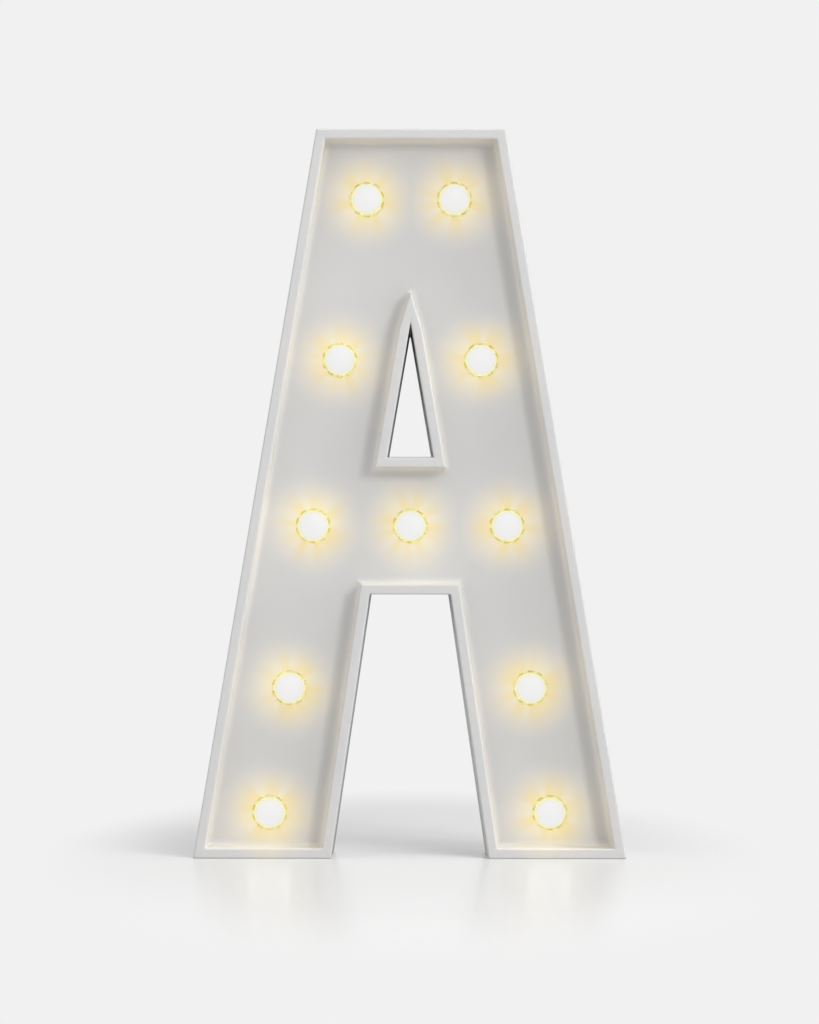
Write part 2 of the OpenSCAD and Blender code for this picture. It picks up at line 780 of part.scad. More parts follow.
module switch_base() {
  color("sienna")
    difference() {
      box([-can_l / 2, base_y, can_z0], [can_l / 2, can_front_y, can_z1]);
      for (k = [-1:1])
        translate([k * terminal_pitch - terminal_t / 2, base_y - over, switch_z - terminal_w / 2])
          cube([terminal_t, base_t + 2 * over, terminal_w]);
    }
}

module switch_terminals() {
  color("silver")
    for (k = [-1:1])
      translate([k * terminal_pitch - terminal_t / 2, terminal_y, switch_z - terminal_w / 2])
        cube([terminal_t, terminal_l + base_t, terminal_w]);
}

module switch_knob() {
  slider_y = cover_in_y - flange_t - can_t - knob_gap - slider_h;
  rib_w = 0.6;
  rib_y = cover_out_y + knob_rise - rib_w / 2;
  color("dimgray")
    difference() {
      union() {
        translate([knob_x - slider_l / 2, slider_y, switch_z - slider_w / 2])
          cube([slider_l, slider_h, slider_w]);
        box(
          [knob_x - knob_l / 2, slider_y, switch_z - knob_w / 2],
          [knob_x + knob_l / 2, cover_out_y + knob_rise, switch_z + knob_w / 2]
        );
      }
      for (k = [-1:1])
        translate([knob_x + k * 2 * rib_w - rib_w / 2, rib_y, switch_z - knob_w])
          cube([rib_w, rib_w, 2 * knob_w]);
    }
}

// A cell along X with its button towards the given side
module cell(z, side) {
  button_x = side * (bay_l / 2 - contact_t - dimple_h - solder_gap);
  groove = 0.3;
  groove_drop = 2;
  color("gold")
    translate([button_x, cell_y, z])
      rotate([0, -90 * side, 0])
        difference() {
          union() {
            cylinder(h = button_h + over, d = button_d);
            translate([0, 0, button_h])
              cylinder(h = cell_l - button_h, d = cell_d);
          }
          translate([0, 0, button_h + groove_drop])
            difference() {
              cylinder(h = 2 * groove, d = cell_d + over);
              translate([0, 0, -over])
                cylinder(h = 2 * groove + 2 * over, d = cell_d - 2 * groove);
            }
        }
}

// Contact plate against the tray's end at the given side, centred on z
module contact_plate(side, z0, z1) {
  x = side * (bay_l / 2 - contact_t / 2);
  translate([x - contact_t / 2, cell_y - contact_w / 2, z0])
    cube([contact_t, contact_w, z1 - z0]);
}

module contact_dimple(side, z) {
  x = side * (bay_l / 2 - contact_t - dimple_h / 2 + contact_t / 2);
  reach = dimple_h + contact_t;
  bar_x(x - reach / 2, x + reach / 2, cell_y, z, button_d / 2);
}

module contact_tab(z) {
  box(
    [bay_l / 2 - contact_t, cell_y - tab_w / 2, z - contact_t / 2],
    [tab_x, cell_y + tab_w / 2, z + contact_t / 2]
  );
}

module contact_plus() {
  color("silver") {
    contact_plate(1, cell_1_z - contact_w / 2, cell_1_z + contact_w / 2);
    contact_dimple(1, cell_1_z);
    contact_tab(cell_1_z);
  }
}

module contact_minus() {
  color("silver") {
    contact_plate(1, cell_2_z - contact_w / 2, cell_2_z + contact_w / 2);
    contact_tab(cell_2_z);
  }
}

module contact_bridge() {
  color("silver") {
    contact_plate(-1, cell_2_z - contact_w / 2, cell_1_z + contact_w / 2);
    contact_dimple(-1, cell_2_z);
  }
}

// Contact spring from the plate at the given side to the flat end of a cell
module contact_spring(side, z) {
  color("silver")
    translate([side * (bay_l / 2 - contact_t), cell_y, z])
      rotate([0, 0, side > 0 ? 180 : 0])
        tube(spring_path, spring_wire_d / 2, spring_sides, [0, 1, 0]);
}

// Quarter circle from the side of a round cap to its top, as [radius, height]
function cap_arc(r, z) = [
  for (k = [0:tip_steps])
    let (a = 90 * k / tip_steps)
    [r * cos(a), z + r * sin(a)]
];

module bulb_dome(i) {
  cap_z = dome_h - dome_r;
  inner_r = dome_r - dome_t;
  foot_t = 0.6;
  color("lightyellow")
    at_bulb(i)
      rotate_extrude()
        polygon(concat(
          [[spigot_r - spigot_t, -spigot_l], [spigot_r, -spigot_l], [spigot_r, seat_h], [dome_r, seat_h]],
          cap_arc(dome_r, cap_z),
          [for (k = [tip_steps:-1:0]) cap_arc(inner_r, cap_z)[k]],
          [[inner_r, seat_h + foot_t], [spigot_r - spigot_t, seat_h + foot_t]]
        ));
}

module bulb_socket(i) {
  bead_z = -face_t - socket_fit;
  color("goldenrod")
    at_bulb(i)
      difference() {
        rotate_extrude()
          polygon([
            [led_bore_r, socket_end],
            [dome_r, socket_end],
            [dome_r, bead_z - bead_h],
            [dome_r + bead_rise, bead_z],
            [dome_r, bead_z],
            [dome_r, 0],
            [ring_r, 0],
            [ring_r, ring_h],
            [hole_r, ring_h],
            [hole_r, seat_h],
            [socket_bore_r, seat_h],
            [socket_bore_r, socket_end + socket_back_t],
            [led_bore_r, socket_end + socket_back_t]
          ]);
        for (k = [0:notch_count - 1])
          rotate([0, 0, 360 * k / notch_count])
            translate([hole_r - socket_fit / 2, -notch_w / 2, seat_h])
              cube([ring_t + over, notch_w, ring_h]);
      }
}

module led(i) {
  r = led_d / 2;
  cap_z = led_foot + led_h - r;
  color("lemonchiffon")
    at_bulb(i) {
      rotate_extrude()
        polygon(concat(
          [[0, led_foot], [r + led_flange, led_foot], [r + led_flange, socket_end], [r, socket_end]],
          cap_arc(r, cap_z)
        ));
      translate([-lead_pitch / 2 - lead_t / 2, -lead_t / 2, led_foot - lead_plus_l])
        cube([lead_t, lead_t, lead_plus_l + led_flange_t / 2]);
      translate([lead_pitch / 2 - lead_t / 2, -lead_t / 2, led_foot - lead_minus_l])
        cube([lead_t, lead_t, lead_minus_l + led_flange_t / 2]);
    }
}

module led_wire(route, shade) {
  color(shade)
    tube(smooth_route(route), wire_r, wire_sides, [0, 1, 0]);
}

module feed_wire(route, shade) {
  color(shade)
    tube(smooth_route(route), wire_r, wire_sides, [0, 0, 1]);
}

front_shell();
back_cover();
battery_door();
cover_screws();
switch_frame();
switch_base();
switch_terminals();
switch_knob();
switch_screws();
cell(cell_1_z, 1);  // cell_1
cell(cell_2_z, -1);  // cell_2
contact_plus();
contact_minus();
contact_bridge();
contact_spring(-1, cell_1_z);  // contact_spring_1
contact_spring(1, cell_2_z);  // contact_spring_2
led_wire(plus_route, "red");  // led_wire_plus
led_wire(minus_route, "black");  // led_wire_minus
feed_wire(cells_to_switch_route, "red");  // wire_cells_to_switch
feed_wire(switch_to_leds_route, "red");  // wire_switch_to_leds
feed_wire(cells_to_leds_route, "black");  // wire_cells_to_leds
for (i = [0:bulb_count - 1]) {
  bulb_dome(i);
  bulb_socket(i);
  led(i);
}
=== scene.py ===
# %% [markdown]
# # A light-up letter
# The object is a white moulded letter A, 220 mm tall, with a raised rim round a recessed face and
# eleven frosted bulbs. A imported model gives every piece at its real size, in metres, with +Z up and the
# lit face looking along -Y. It is loaded as a fixed frame: nothing in it is moved, and each piece made
# here goes where the frame says.

# %% Load the frame
import math

import bmesh
import bpy
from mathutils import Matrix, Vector


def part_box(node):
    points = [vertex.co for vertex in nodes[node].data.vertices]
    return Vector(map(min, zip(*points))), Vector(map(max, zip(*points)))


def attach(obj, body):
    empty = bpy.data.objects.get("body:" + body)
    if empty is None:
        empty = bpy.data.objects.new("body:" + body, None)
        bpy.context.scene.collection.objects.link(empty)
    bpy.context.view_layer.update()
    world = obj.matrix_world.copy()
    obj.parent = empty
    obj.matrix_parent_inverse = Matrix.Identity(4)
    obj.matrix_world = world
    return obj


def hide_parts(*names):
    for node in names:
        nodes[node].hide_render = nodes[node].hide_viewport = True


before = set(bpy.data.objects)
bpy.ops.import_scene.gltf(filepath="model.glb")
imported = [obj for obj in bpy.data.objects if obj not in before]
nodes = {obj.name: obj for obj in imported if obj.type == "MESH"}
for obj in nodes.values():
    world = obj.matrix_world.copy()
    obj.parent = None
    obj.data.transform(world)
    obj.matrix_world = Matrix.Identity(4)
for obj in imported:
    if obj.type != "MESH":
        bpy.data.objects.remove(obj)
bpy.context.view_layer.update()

# %% [markdown]
# ## Sizes
# A modeller measures before making. The boxes of a few pieces give most sizes. What a box can't tell,
# such as the width of the rim, is a named value in millimetres, the size that the part itself has. A few
# roundings are there for the look alone, and they are named where the pieces are made.

# %% Measure the letter
mm = 0.001
near = 0.01 * mm
shell_low, shell_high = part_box("front_shell")
front_y = shell_low.y
back_y = shell_high.y
letter_h = shell_high.z
shell_points = [vertex.co for vertex in nodes["front_shell"].data.vertices]
foot_half = shell_high.x
top_half = max(point.x for point in shell_points if point.z > letter_h - near)
arch_foot_half = 23.8 * mm
arch_top_half = 12.2 * mm
arch_h = 79.65 * mm
print("half widths in mm:", [round(x / mm, 2) for x in (foot_half, top_half, arch_foot_half)])

# %% Measure the bulbs
bulb_count = sum(name.startswith("bulb_dome_") for name in nodes)
dome_boxes = [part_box(f"bulb_dome_{i}") for i in range(1, bulb_count + 1)]
bulbs = [Vector(((low.x + high.x) / 2, (low.z + high.z) / 2)) for low, high in dome_boxes]
dome_r = (dome_boxes[0][1].x - dome_boxes[0][0].x) / 2
dome_h = 8.2 * mm
face_t = 2 * mm
face_y = dome_boxes[0][0].y + dome_h
face_back_y = face_y + face_t
print("bulbs:", bulb_count, "dome radius in mm:", round(dome_r / mm, 2), "face at", round(face_y / mm, 2))

# %% [markdown]
# ## Camera
# The outer sides of the letter don't show, so the picture was taken level and from far away. A long lens
# does that here. The walls in the arch look a little wider on the right, so the camera stands a few
# millimetres left of the middle, and a slight roll follows the lean of the rim. The height of the picture
# at the rim is known in millimetres, so the lens follows from the distance. The camera's sensor width
# belongs to the longer side of the picture, which is its height.

# %% Set up the camera
picture_rows = 1024
row_h = 0.3013 * mm
picture_h = picture_rows * row_h
camera_z = 104.5 * mm
camera_distance = 2.0
camera_x = -4 * mm
aim_x = -0.24 * mm
camera_roll = -0.0015
camera_data = bpy.data.cameras.new("camera")
camera_data.lens = camera_data.sensor_width * camera_distance / picture_h
camera = bpy.data.objects.new("camera", camera_data)
camera.location = (camera_x, front_y - camera_distance, camera_z)
camera_yaw = -math.atan2(aim_x - camera_x, camera_distance)
camera.rotation_euler = (math.radians(90), camera_roll, camera_yaw)
bpy.context.scene.collection.objects.link(camera)
bpy.context.scene.camera = camera
bpy.context.scene.view_settings.view_transform = "Standard"
print("lens in mm:", round(camera_data.lens))

# %% [markdown]
# ## Shader maths
# A material is a graph of nodes. Long graphs are easier to read as formulas, so one small class holds an
# output of a node, and plus, minus, times and the rest each add a Math node. Every other node comes from
# the method called node, which takes its settings first and then what goes into its sockets.

# %% A class for shader formulas
class Flow:
    """An output of a node. Arithmetic on flows adds Math nodes to their tree."""

    def __init__(self, tree, socket=None):
        self.tree = tree
        self.socket = socket

    def node(self, kind, settings=None, inputs=None, out=0):
        """Adds a node: its settings are set first, then the values or links of its sockets."""
        made = self.tree.nodes.new(kind)
        for name, value in (settings or {}).items():
            setattr(made, name, value)
        for name, value in (inputs or {}).items():
            if isinstance(value, Flow):
                self.tree.links.new(value.socket, made.inputs[name])
            else:
                made.inputs[name].default_value = value
        return Flow(self.tree, made.outputs[out] if made.outputs else None)

    def maths(self, operation, one, two):
        """Adds a Math node with two inputs."""
        return self.node("ShaderNodeMath", {"operation": operation}, {0: one, 1: two})

    def __add__(self, other):
        return self.maths("ADD", self, other)

    def __radd__(self, other):
        return self.maths("ADD", other, self)

    def __sub__(self, other):
        return self.maths("SUBTRACT", self, other)

    def __rsub__(self, other):
        return self.maths("SUBTRACT", other, self)

    def __mul__(self, other):
        return self.maths("MULTIPLY", self, other)

    def __rmul__(self, other):
        return self.maths("MULTIPLY", other, self)

    def __truediv__(self, other):
        return self.maths("DIVIDE", self, other)

    def smooth(self, low, high):
        """0 below low and 1 above high, with a smooth rise between them."""
        settings = {"interpolation_type": "SMOOTHSTEP"}
        return self.node("ShaderNodeMapRange", settings, {"Value": self, "From Min": low, "From Max": high})

    def mix(self, one, two):
        """Colour one where this flow is 0, and two where it is 1."""
        return self.node("ShaderNodeMix", {"data_type": "RGBA"}, {0: self, 6: one, 7: two}, out=2)


print("shader formulas are ready")

# %% Start and finish a material
def new_material(name):
    """An empty material, and a flow of the place on the piece, which stays with the piece as it moves."""
    material = bpy.data.materials.new(name)
    material.use_nodes = True
    material.node_tree.nodes.clear()
    start = Flow(material.node_tree)
    return material, start.node("ShaderNodeTexCoord", out=3)


def noise(place, size, detail=2.0):
    """Cloudy noise whose blobs are about as wide as size."""
    return place.node("ShaderNodeTexNoise", {}, {"Vector": place, "Scale": 1 / size, "Detail": detail})


def bump(height, depth):
    """Normals that make a surface look raised by a height from 0 to 1."""
    return height.node("ShaderNodeBump", {}, {"Height": height, "Strength": 1.0, "Distance": depth})


def finish_surface(place, **sockets):
    """The last nodes: one main shader with the given sockets, and the output."""
    inputs = {}
    for name, value in sockets.items():
        inputs[name.replace("_", " ").title().replace("Ior", "IOR")] = value
    shader = place.node("ShaderNodeBsdfPrincipled", {}, inputs)
    place.node("ShaderNodeOutputMaterial", {}, {"Surface": shader})


print("material helpers are ready")

# %% [markdown]
# ## Floor, world and light
# The letter stands on a pale seamless sweep. A large floor would show a horizon, so the floor's shader
# fades with distance into the same pale tone that the world shows to the camera. That tone is seen by
# camera, glossy and transmission rays alone, so it adds no light to the object. The light that the world
# does give is stronger from the front, as in a room with a white wall behind the camera. Near the letter
# the floor is a real surface: it takes the soft shadow, and its slight gloss mirrors the lowest bulbs. It
# throws less light back than its own tone would, which keeps the undersides of the letter in shade.

# %% The pale tone, and who sees it
pale = (0.88, 0.88, 0.88, 1)
front_light = 0.73
back_light = 0.34
sky_blend = 0.4


def looking(start):
    """1 for rays that look at things, 0 for rays that carry light between surfaces."""
    camera_ray = start.node("ShaderNodeLightPath", out=0)
    glossy_ray = start.node("ShaderNodeLightPath", out=3)
    transmission_ray = start.node("ShaderNodeLightPath", out=6)
    return camera_ray.maths("MINIMUM", camera_ray + glossy_ray + transmission_ray, 1.0)


world = bpy.data.worlds.new("studio")
bpy.context.scene.world = world
world.use_nodes = True
world.node_tree.nodes.clear()
world_start = Flow(world.node_tree)
seen_world = world_start.node("ShaderNodeBackground", {}, {"Color": pale, "Strength": 1.0})
sky_way = world_start.node("ShaderNodeTexCoord", out=0)
sky_y = sky_way.node("ShaderNodeSeparateXYZ", {}, {0: sky_way}, out=1)
sky = front_light + (back_light - front_light) * sky_y.smooth(-sky_blend, sky_blend)
lit_world = world_start.node("ShaderNodeBackground", {}, {"Color": (1, 1, 1, 1), "Strength": sky})
seen = looking(world_start)
world_mix = world_start.node("ShaderNodeMixShader", {}, {0: seen, 1: lit_world, 2: seen_world})
world_start.node("ShaderNodeOutputWorld", {}, {"Surface": world_mix})
print("world is ready")

# %% The floor
floor_half = 6.0
shadow_half_w = 0.108
shadow_half_d = 0.46
least_fade = 0.12
fade_from = 0.6
fade_to = 1.1
floor_bounce = (0.46, 0.46, 0.46, 1)
floor_gloss = 0.35
floor_mesh = bpy.data.meshes.new("floor")
corners = [(-1, -1), (1, -1), (1, 1), (-1, 1)]
floor_mesh.from_pydata([(floor_half * x, floor_half * y, 0) for x, y in corners], [], [(0, 1, 2, 3)])
floor = bpy.data.objects.new("floor", floor_mesh)
bpy.context.scene.collection.objects.link(floor)

floor_material, place = new_material("pale_floor")
grain = noise(place, 4 * mm)
seen_colour = grain.mix((0.75, 0.75, 0.75, 1), (0.77, 0.77, 0.77, 1))
floor_colour = looking(place).mix(floor_bounce, seen_colour)
matte = place.node("ShaderNodeBsdfDiffuse", {}, {"Color": floor_colour})
gloss = place.node("ShaderNodeBsdfGlossy", {}, {"Color": (0.97, 0.97, 0.97, 1), "Roughness": 0.2})
surface = place.node("ShaderNodeMixShader", {}, {0: floor_gloss, 1: matte, 2: gloss})
shadow_reach = (shadow_half_w, shadow_half_d, 1)
scaled = place.node("ShaderNodeVectorMath", {"operation": "DIVIDE"}, {0: place, 1: shadow_reach})
far_away = place.node("ShaderNodeVectorMath", {"operation": "LENGTH"}, {0: scaled}, out=1)
fade = (least_fade + (1 - least_fade) * far_away.smooth(fade_from, fade_to)) * looking(place)
sweep = place.node("ShaderNodeEmission", {}, {"Color": pale, "Strength": 1.0})
faded = place.node("ShaderNodeMixShader", {}, {0: fade, 1: surface, 2: sweep})
place.node("ShaderNodeOutputMaterial", {}, {"Surface": faded})
floor_mesh.materials.append(floor_material)
print("the floor keeps shadows within", shadow_half_w, "m to the sides")

# %% [markdown]
# ## Lamps
# A white letter on a white floor is lit in two sets, as a photographer does with flags and screens. Light
# linking makes the sets: the letter's lamps skip the floor, and the floor's lamps reach the floor alone.
# Of the lamps here, only the small one in front of the letter lights both, and it draws the narrow shadows
# in the recess. That lamp and those of the floor are hidden from glossy rays, so the floor doesn't mirror
# them.

# %% Lamps for the letter and for the floor
def area_light(name, location, target, size, power):
    """A square lamp that looks from one point to another."""
    data = bpy.data.lights.new(name, "AREA")
    data.size = size
    data.energy = power
    lamp = bpy.data.objects.new(name, data)
    lamp.location = location
    lamp.rotation_euler = (Vector(target) - Vector(location)).to_track_quat("-Z", "Y").to_euler()
    bpy.context.scene.collection.objects.link(lamp)
    return lamp


letter_middle = (0, 0, letter_h / 2)
front = area_light("front", (0.58, -1.55, 0.50), letter_middle, 0.25, 5.9)
letter_lamps = [
    area_light("key", (0.83, -0.27, 1.44), letter_middle, 0.8, 13.5),
    area_light("side", (1.54, -0.34, 0.40), letter_middle, 0.4, 4.6),
    area_light("fill", (-0.70, -1.40, 0.35), letter_middle, 0.6, 1.2),
    area_light("back", (-0.60, 1.70, 0.60), letter_middle, 0.8, 18),
]
floor_lamps = [
    area_light("floor_key", (0.55, -1.2, 1.0), letter_middle, 0.9, 19.2),
    area_light("floor_top", (0.20, -0.20, 1.70), letter_middle, 2.0, 2.0),
]
for lamps, state in ((letter_lamps, "EXCLUDE"), (floor_lamps, "INCLUDE")):
    receivers = bpy.data.collections.new("floor_" + state.lower())
    receivers.objects.link(floor)
    receivers.collection_objects[0].light_linking.link_state = state
    for lamp in lamps:
        lamp.light_linking.receiver_collection = receivers
for lamp in [front, *floor_lamps]:
    lamp.visible_glossy = False

# %% [markdown]
# ## White moulded plastic
# The letter and its back are moulded in one white plastic. Up close such plastic isn't one flat colour:
# it has a fine matt grain from the tool, faint clouds in its tone, and patches that are a little more
# polished. Noise at three sizes gives these. Round each lit bulb the bulb's light is painted onto the
# face: a painted warm tint and a painted glow. The distance to the nearest bulb steers that painted halo,
# so it stays with the letter from every side. The painted light has faint rays, as light that leaves a
# socket between its teeth would: noise that depends only on the direction from the bulb. The walls of the
# recess, which the mesh marks in a layer, are painted paler and warmer, as if lit, and they and the rim
# have a painted glow where a bulb is close.

# %% The nearest bulb
def nearest_bulb(place):
    """The vector from the axis of the nearest bulb, seen from the front, and its length."""
    x = place.node("ShaderNodeSeparateXYZ", {}, {0: place}, out=0)
    z = place.node("ShaderNodeSeparateXYZ", {}, {0: place}, out=2)
    flat = place.node("ShaderNodeCombineXYZ", {}, {"X": x, "Z": z})
    way = away = None
    for bulb in bulbs:
        axis = (bulb.x, 0, bulb.y)
        offset = place.node("ShaderNodeVectorMath", {"operation": "SUBTRACT"}, {0: flat, 1: axis})
        length = place.node("ShaderNodeVectorMath", {"operation": "LENGTH"}, {0: offset}, out=1)
        if way is None:
            way = offset
            away = length
        else:
            closer = length.maths("LESS_THAN", length, away)
            choice = {0: closer, 4: way, 5: offset}
            way = place.node("ShaderNodeMix", {"data_type": "VECTOR"}, choice, out=1)
            away = away.maths("MINIMUM", away, length)
    return way, away


ray_spread = (40, 0, 40)


def ray_noise(place, way, count):
    """Noise that changes only with the direction from a bulb, which gives the painted halo about count rays
    of painted light.

    The place of the bulb's axis, spread out, makes the rays of each bulb different."""
    turn = place.node("ShaderNodeVectorMath", {"operation": "NORMALIZE"}, {0: way})
    axis = place.node("ShaderNodeVectorMath", {"operation": "SUBTRACT"}, {0: place, 1: way})
    apart = place.node("ShaderNodeVectorMath", {"operation": "MULTIPLY"}, {0: axis, 1: ray_spread})
    spot = place.node("ShaderNodeVectorMath", {"operation": "ADD"}, {0: turn, 1: apart})
    return noise(spot, math.pi / count, 0.0)


print("halos round the bulbs:", bulb_count)

# %% Light of the bulbs painted on the plastic
# Painted light round the bulbs: a warm halo with rays and a glow on the face, paler and warmer recess
# walls, and a glow on the rim and walls near a bulb.
wall_painted_paler = (0.75, 0.737, 0.715, 1)
painted_ray_pale = (0.64, 0.635, 0.57, 1)
painted_ray_deep = (0.645, 0.59, 0.41, 1)
painted_warm_glow = (0.165, 0.112, 0.03, 1)
rim_painted_glow = 0.25
wall_painted_glow = 0.1
ray_count = 7
halo_waver = 0.24

# Each fade says where a change starts and where it is complete
ray_fade = (0.34, 0.66)
halo_fade = (5 * mm, 17 * mm)
rim_painted_glow_fade = (8 * mm, 34 * mm)
wall_painted_glow_fade = (10 * mm, 32 * mm)
rim_fade = (front_y + 0.1 * mm, front_y + 0.7 * mm)
wall_top_fade = (front_y + 0.2 * mm, front_y + 0.6 * mm)
wall_foot_fade = (face_y - mm, face_y)
face_fade = (face_y + 0.2 * mm, face_y + 2.5 * mm)


def paint_bulb_light(place, patches, colour):
    """The colour of the plastic with painted halos of bulb light and painted paler recess walls, and the
    colour of its painted glow.
    """
    y = place.node("ShaderNodeSeparateXYZ", {}, {0: place}, out=1)
    way, distance = nearest_bulb(place)
    rays = ray_noise(place, way, ray_count).smooth(*ray_fade)
    away = distance * (1 - halo_waver / 2 + halo_waver * patches)
    before_face = 1 - y.smooth(*face_fade)
    halo = (1 - away.smooth(*halo_fade)) * before_face
    recess = place.node("ShaderNodeAttribute", {"attribute_name": "recess_wall"}, out=2)
    wall = recess * y.smooth(*wall_top_fade) * (1 - y.smooth(*wall_foot_fade))
    # The recess walls are painted paler and warmer, as if lit.
    colour = wall.mix(colour, wall_painted_paler)
    # A painted halo of warm bulb light on the face, with painted rays.
    colour = (halo * halo * (1 - wall)).mix(colour, rays.mix(painted_ray_pale, painted_ray_deep))
    # Painted glow of bulb light on the recess walls and on the rim near a bulb.
    wall_painted_glow_mask = wall * (1 - away.smooth(*wall_painted_glow_fade))
    rim = 1 - y.smooth(*rim_fade)
    rim_painted_glow_mask = rim_painted_glow * rim * (1 - away.smooth(*rim_painted_glow_fade))
    glow = rim_painted_glow_mask + halo.maths("MAXIMUM", halo * (1 - wall), wall_painted_glow * wall_painted_glow_mask)
    return colour, glow.mix((0, 0, 0, 1), painted_warm_glow)


print("halos reach in mm:", round(halo_fade[1] / mm))

# %% The white finish, plain and with painted bulb light
def white_plastic(name, lit):
    """White plastic. Where lit is true, the bulbs' light is painted in as warm halos, paler recess walls
    and glow.
    """
    material, place = new_material(name)
    clouds = noise(place, 30 * mm, 3.0)
    grain = noise(place, 0.5 * mm, 2.0)
    patches = noise(place, 9 * mm, 4.0)
    sockets = {
        "base_color": clouds.mix((0.62, 0.621, 0.626, 1), (0.65, 0.651, 0.656, 1)),
        "roughness": 0.5 + 0.16 * patches,
        "specular_ior_level": 0.0 if lit else 0.3,
        "normal": bump(grain, 0.02 * mm),
    }
    # The lit copy gets the bulbs' light painted in: halos, paler recess walls and glow.
    if lit:
        colour, glow = paint_bulb_light(place, patches, sockets["base_color"])
        sockets.update(base_color=colour, emission_color=glow, emission_strength=1.0)
    finish_surface(place, **sockets)
    return material


white_with_painted_glow = white_plastic("moulded_white_painted_glow", True)
plain_white = white_plastic("moulded_white", False)
print("white plastic is ready")

# %% [markdown]
# ## Bulbs and sockets
# A bulb is a frosted dome that a light-emitting diode fills with light: it looks evenly white over its
# middle and turns golden at its edge, where the light comes out through more of the wall. The colour
# follows the distance from the bulb's axis. The socket is an amber moulding with a toothed ring that
# the dome sits in. Its teeth are deep amber. The notches between them let the light through, and that
# light is painted in: the notches are painted pale, and teeth and notches have a painted glow. The
# height above the face chooses the tone and the glow.

# %% Frosted dome
bulb_white = (0.77, 0.77, 0.775, 1)
bulb_golden = (0.77, 0.745, 0.47, 1)
golden_fade = (0.64 * dome_r, 1.14 * dome_r)


def frosted_bulb():
    """White over the middle of each dome and golden towards its edge."""
    material, place = new_material("frosted_bulb")
    _, away = nearest_bulb(place)
    frost = noise(place, 0.35 * mm, 3.0)
    edge = away.smooth(*golden_fade)
    finish_surface(
        place,
        base_color=frost.mix((0.09, 0.088, 0.08, 1), (0.12, 0.118, 0.11, 1)),
        roughness=0.45 + 0.2 * frost,
        specular_ior_level=0.1,
        emission_color=edge.mix(bulb_white, bulb_golden),
        emission_strength=1.0,
        normal=bump(frost, 0.02 * mm),
    )
    return material


bulb_frost = frosted_bulb()
print("frosted finish is ready")

# %% Amber socket
thin_amber = (0.62, 0.57, 0.27, 1)
thick_amber = (0.54, 0.43, 0.08, 1)
streak_amber = (0.70, 0.62, 0.28, 1)
# Painted light: the notches are painted pale with the light that passes through them, and the two glows
# paint the light that the socket lets out.
notch_painted_pale = (0.58, 0.56, 0.32, 1)
notch_painted_glow = (0.13, 0.15, 0.07, 1)
tooth_painted_glow = (0.04, 0.04, 0.0, 1)
thick_fade = (0.4, 0.62)
tooth_fade = (face_y - 1.3 * mm, face_y - 0.5 * mm)


def amber_socket():
    """Amber on the raised teeth, painted paler in the notches between them with the light they let through,
    and a painted glow on both.
    """
    material, place = new_material("amber_socket")
    y = place.node("ShaderNodeSeparateXYZ", {}, {0: place}, out=1)
    flow_marks = noise(place, 1.2 * mm, 3.0)
    raised = 1 - y.smooth(*tooth_fade)
    thick = noise(place, 3.2 * mm, 1.0).smooth(*thick_fade)
    tooth = thick.mix(thin_amber, thick_amber)
    amber = (0.3 * flow_marks).mix(tooth, streak_amber)
    finish_surface(
        place,
        base_color=raised.mix(notch_painted_pale, amber),
        roughness=0.25 + 0.15 * flow_marks,
        emission_color=raised.mix(notch_painted_glow, tooth_painted_glow),
        emission_strength=1.0,
        normal=bump(flow_marks, 0.02 * mm),
    )
    return material


socket_gold = amber_socket()
print("amber finish is ready")

# %% [markdown]
# ## Metals, wires and the rest
# Screws and contacts are metal with fine marks left by rolling and turning. The switch's board is brown
# laminate, its knob black plastic, the cells have a plain grey jacket and the wires a soft plastic coat.
# Each is a short function: two tones mixed by noise, a roughness that varies and a little bump.

# %% A finish of two tones
def two_tone(name, dark, light, blob, shine, rough, depth, stretch=(1, 1, 1)):
    """Two tones mixed by noise. shine is the metallic share, and stretch draws the noise out."""
    material, place = new_material(name)
    drawn = place.node("ShaderNodeVectorMath", {"operation": "MULTIPLY"}, {0: place, 1: stretch})
    marks = noise(drawn, blob, 4.0)
    finish_surface(
        place,
        base_color=marks.mix(dark, light),
        metallic=shine,
        roughness=rough[0] + (rough[1] - rough[0]) * marks,
        normal=bump(marks, depth),
    )
    return material


screw_steel = two_tone(
    "screw_steel", (0.42, 0.42, 0.43, 1), (0.6, 0.6, 0.6, 1),
    blob=0.4 * mm, shine=1.0, rough=(0.22, 0.42), depth=0.01 * mm,
)
contact_nickel = two_tone(
    "contact_nickel", (0.55, 0.53, 0.5, 1), (0.7, 0.68, 0.64, 1),
    blob=0.6 * mm, shine=1.0, rough=(0.18, 0.36), depth=0.01 * mm, stretch=(1, 1, 0.15),
)
switch_board = two_tone(
    "switch_board", (0.16, 0.07, 0.03, 1), (0.25, 0.12, 0.05, 1),
    blob=0.5 * mm, shine=0.0, rough=(0.45, 0.65), depth=0.02 * mm, stretch=(0.2, 1, 1),
)
knob_black = two_tone(
    "knob_black", (0.012, 0.012, 0.013, 1), (0.03, 0.03, 0.03, 1),
    blob=0.3 * mm, shine=0.0, rough=(0.4, 0.6), depth=0.02 * mm,
)
led_epoxy = two_tone(
    "led_epoxy", (0.85, 0.72, 0.4, 1), (0.9, 0.8, 0.5, 1),
    blob=1.5 * mm, shine=0.0, rough=(0.08, 0.2), depth=0.01 * mm,
)
wire_red = two_tone(
    "wire_red", (0.42, 0.015, 0.01, 1), (0.55, 0.03, 0.02, 1),
    blob=2 * mm, shine=0.0, rough=(0.3, 0.5), depth=0.01 * mm,
)
wire_black = two_tone(
    "wire_black", (0.012, 0.012, 0.012, 1), (0.03, 0.03, 0.03, 1),
    blob=2 * mm, shine=0.0, rough=(0.3, 0.5), depth=0.01 * mm,
)
print("metals and plastics are ready")

# %% Cell jacket
button_fade = (0.036, 0.038)
flat_end_fade = (0.972, 0.974)


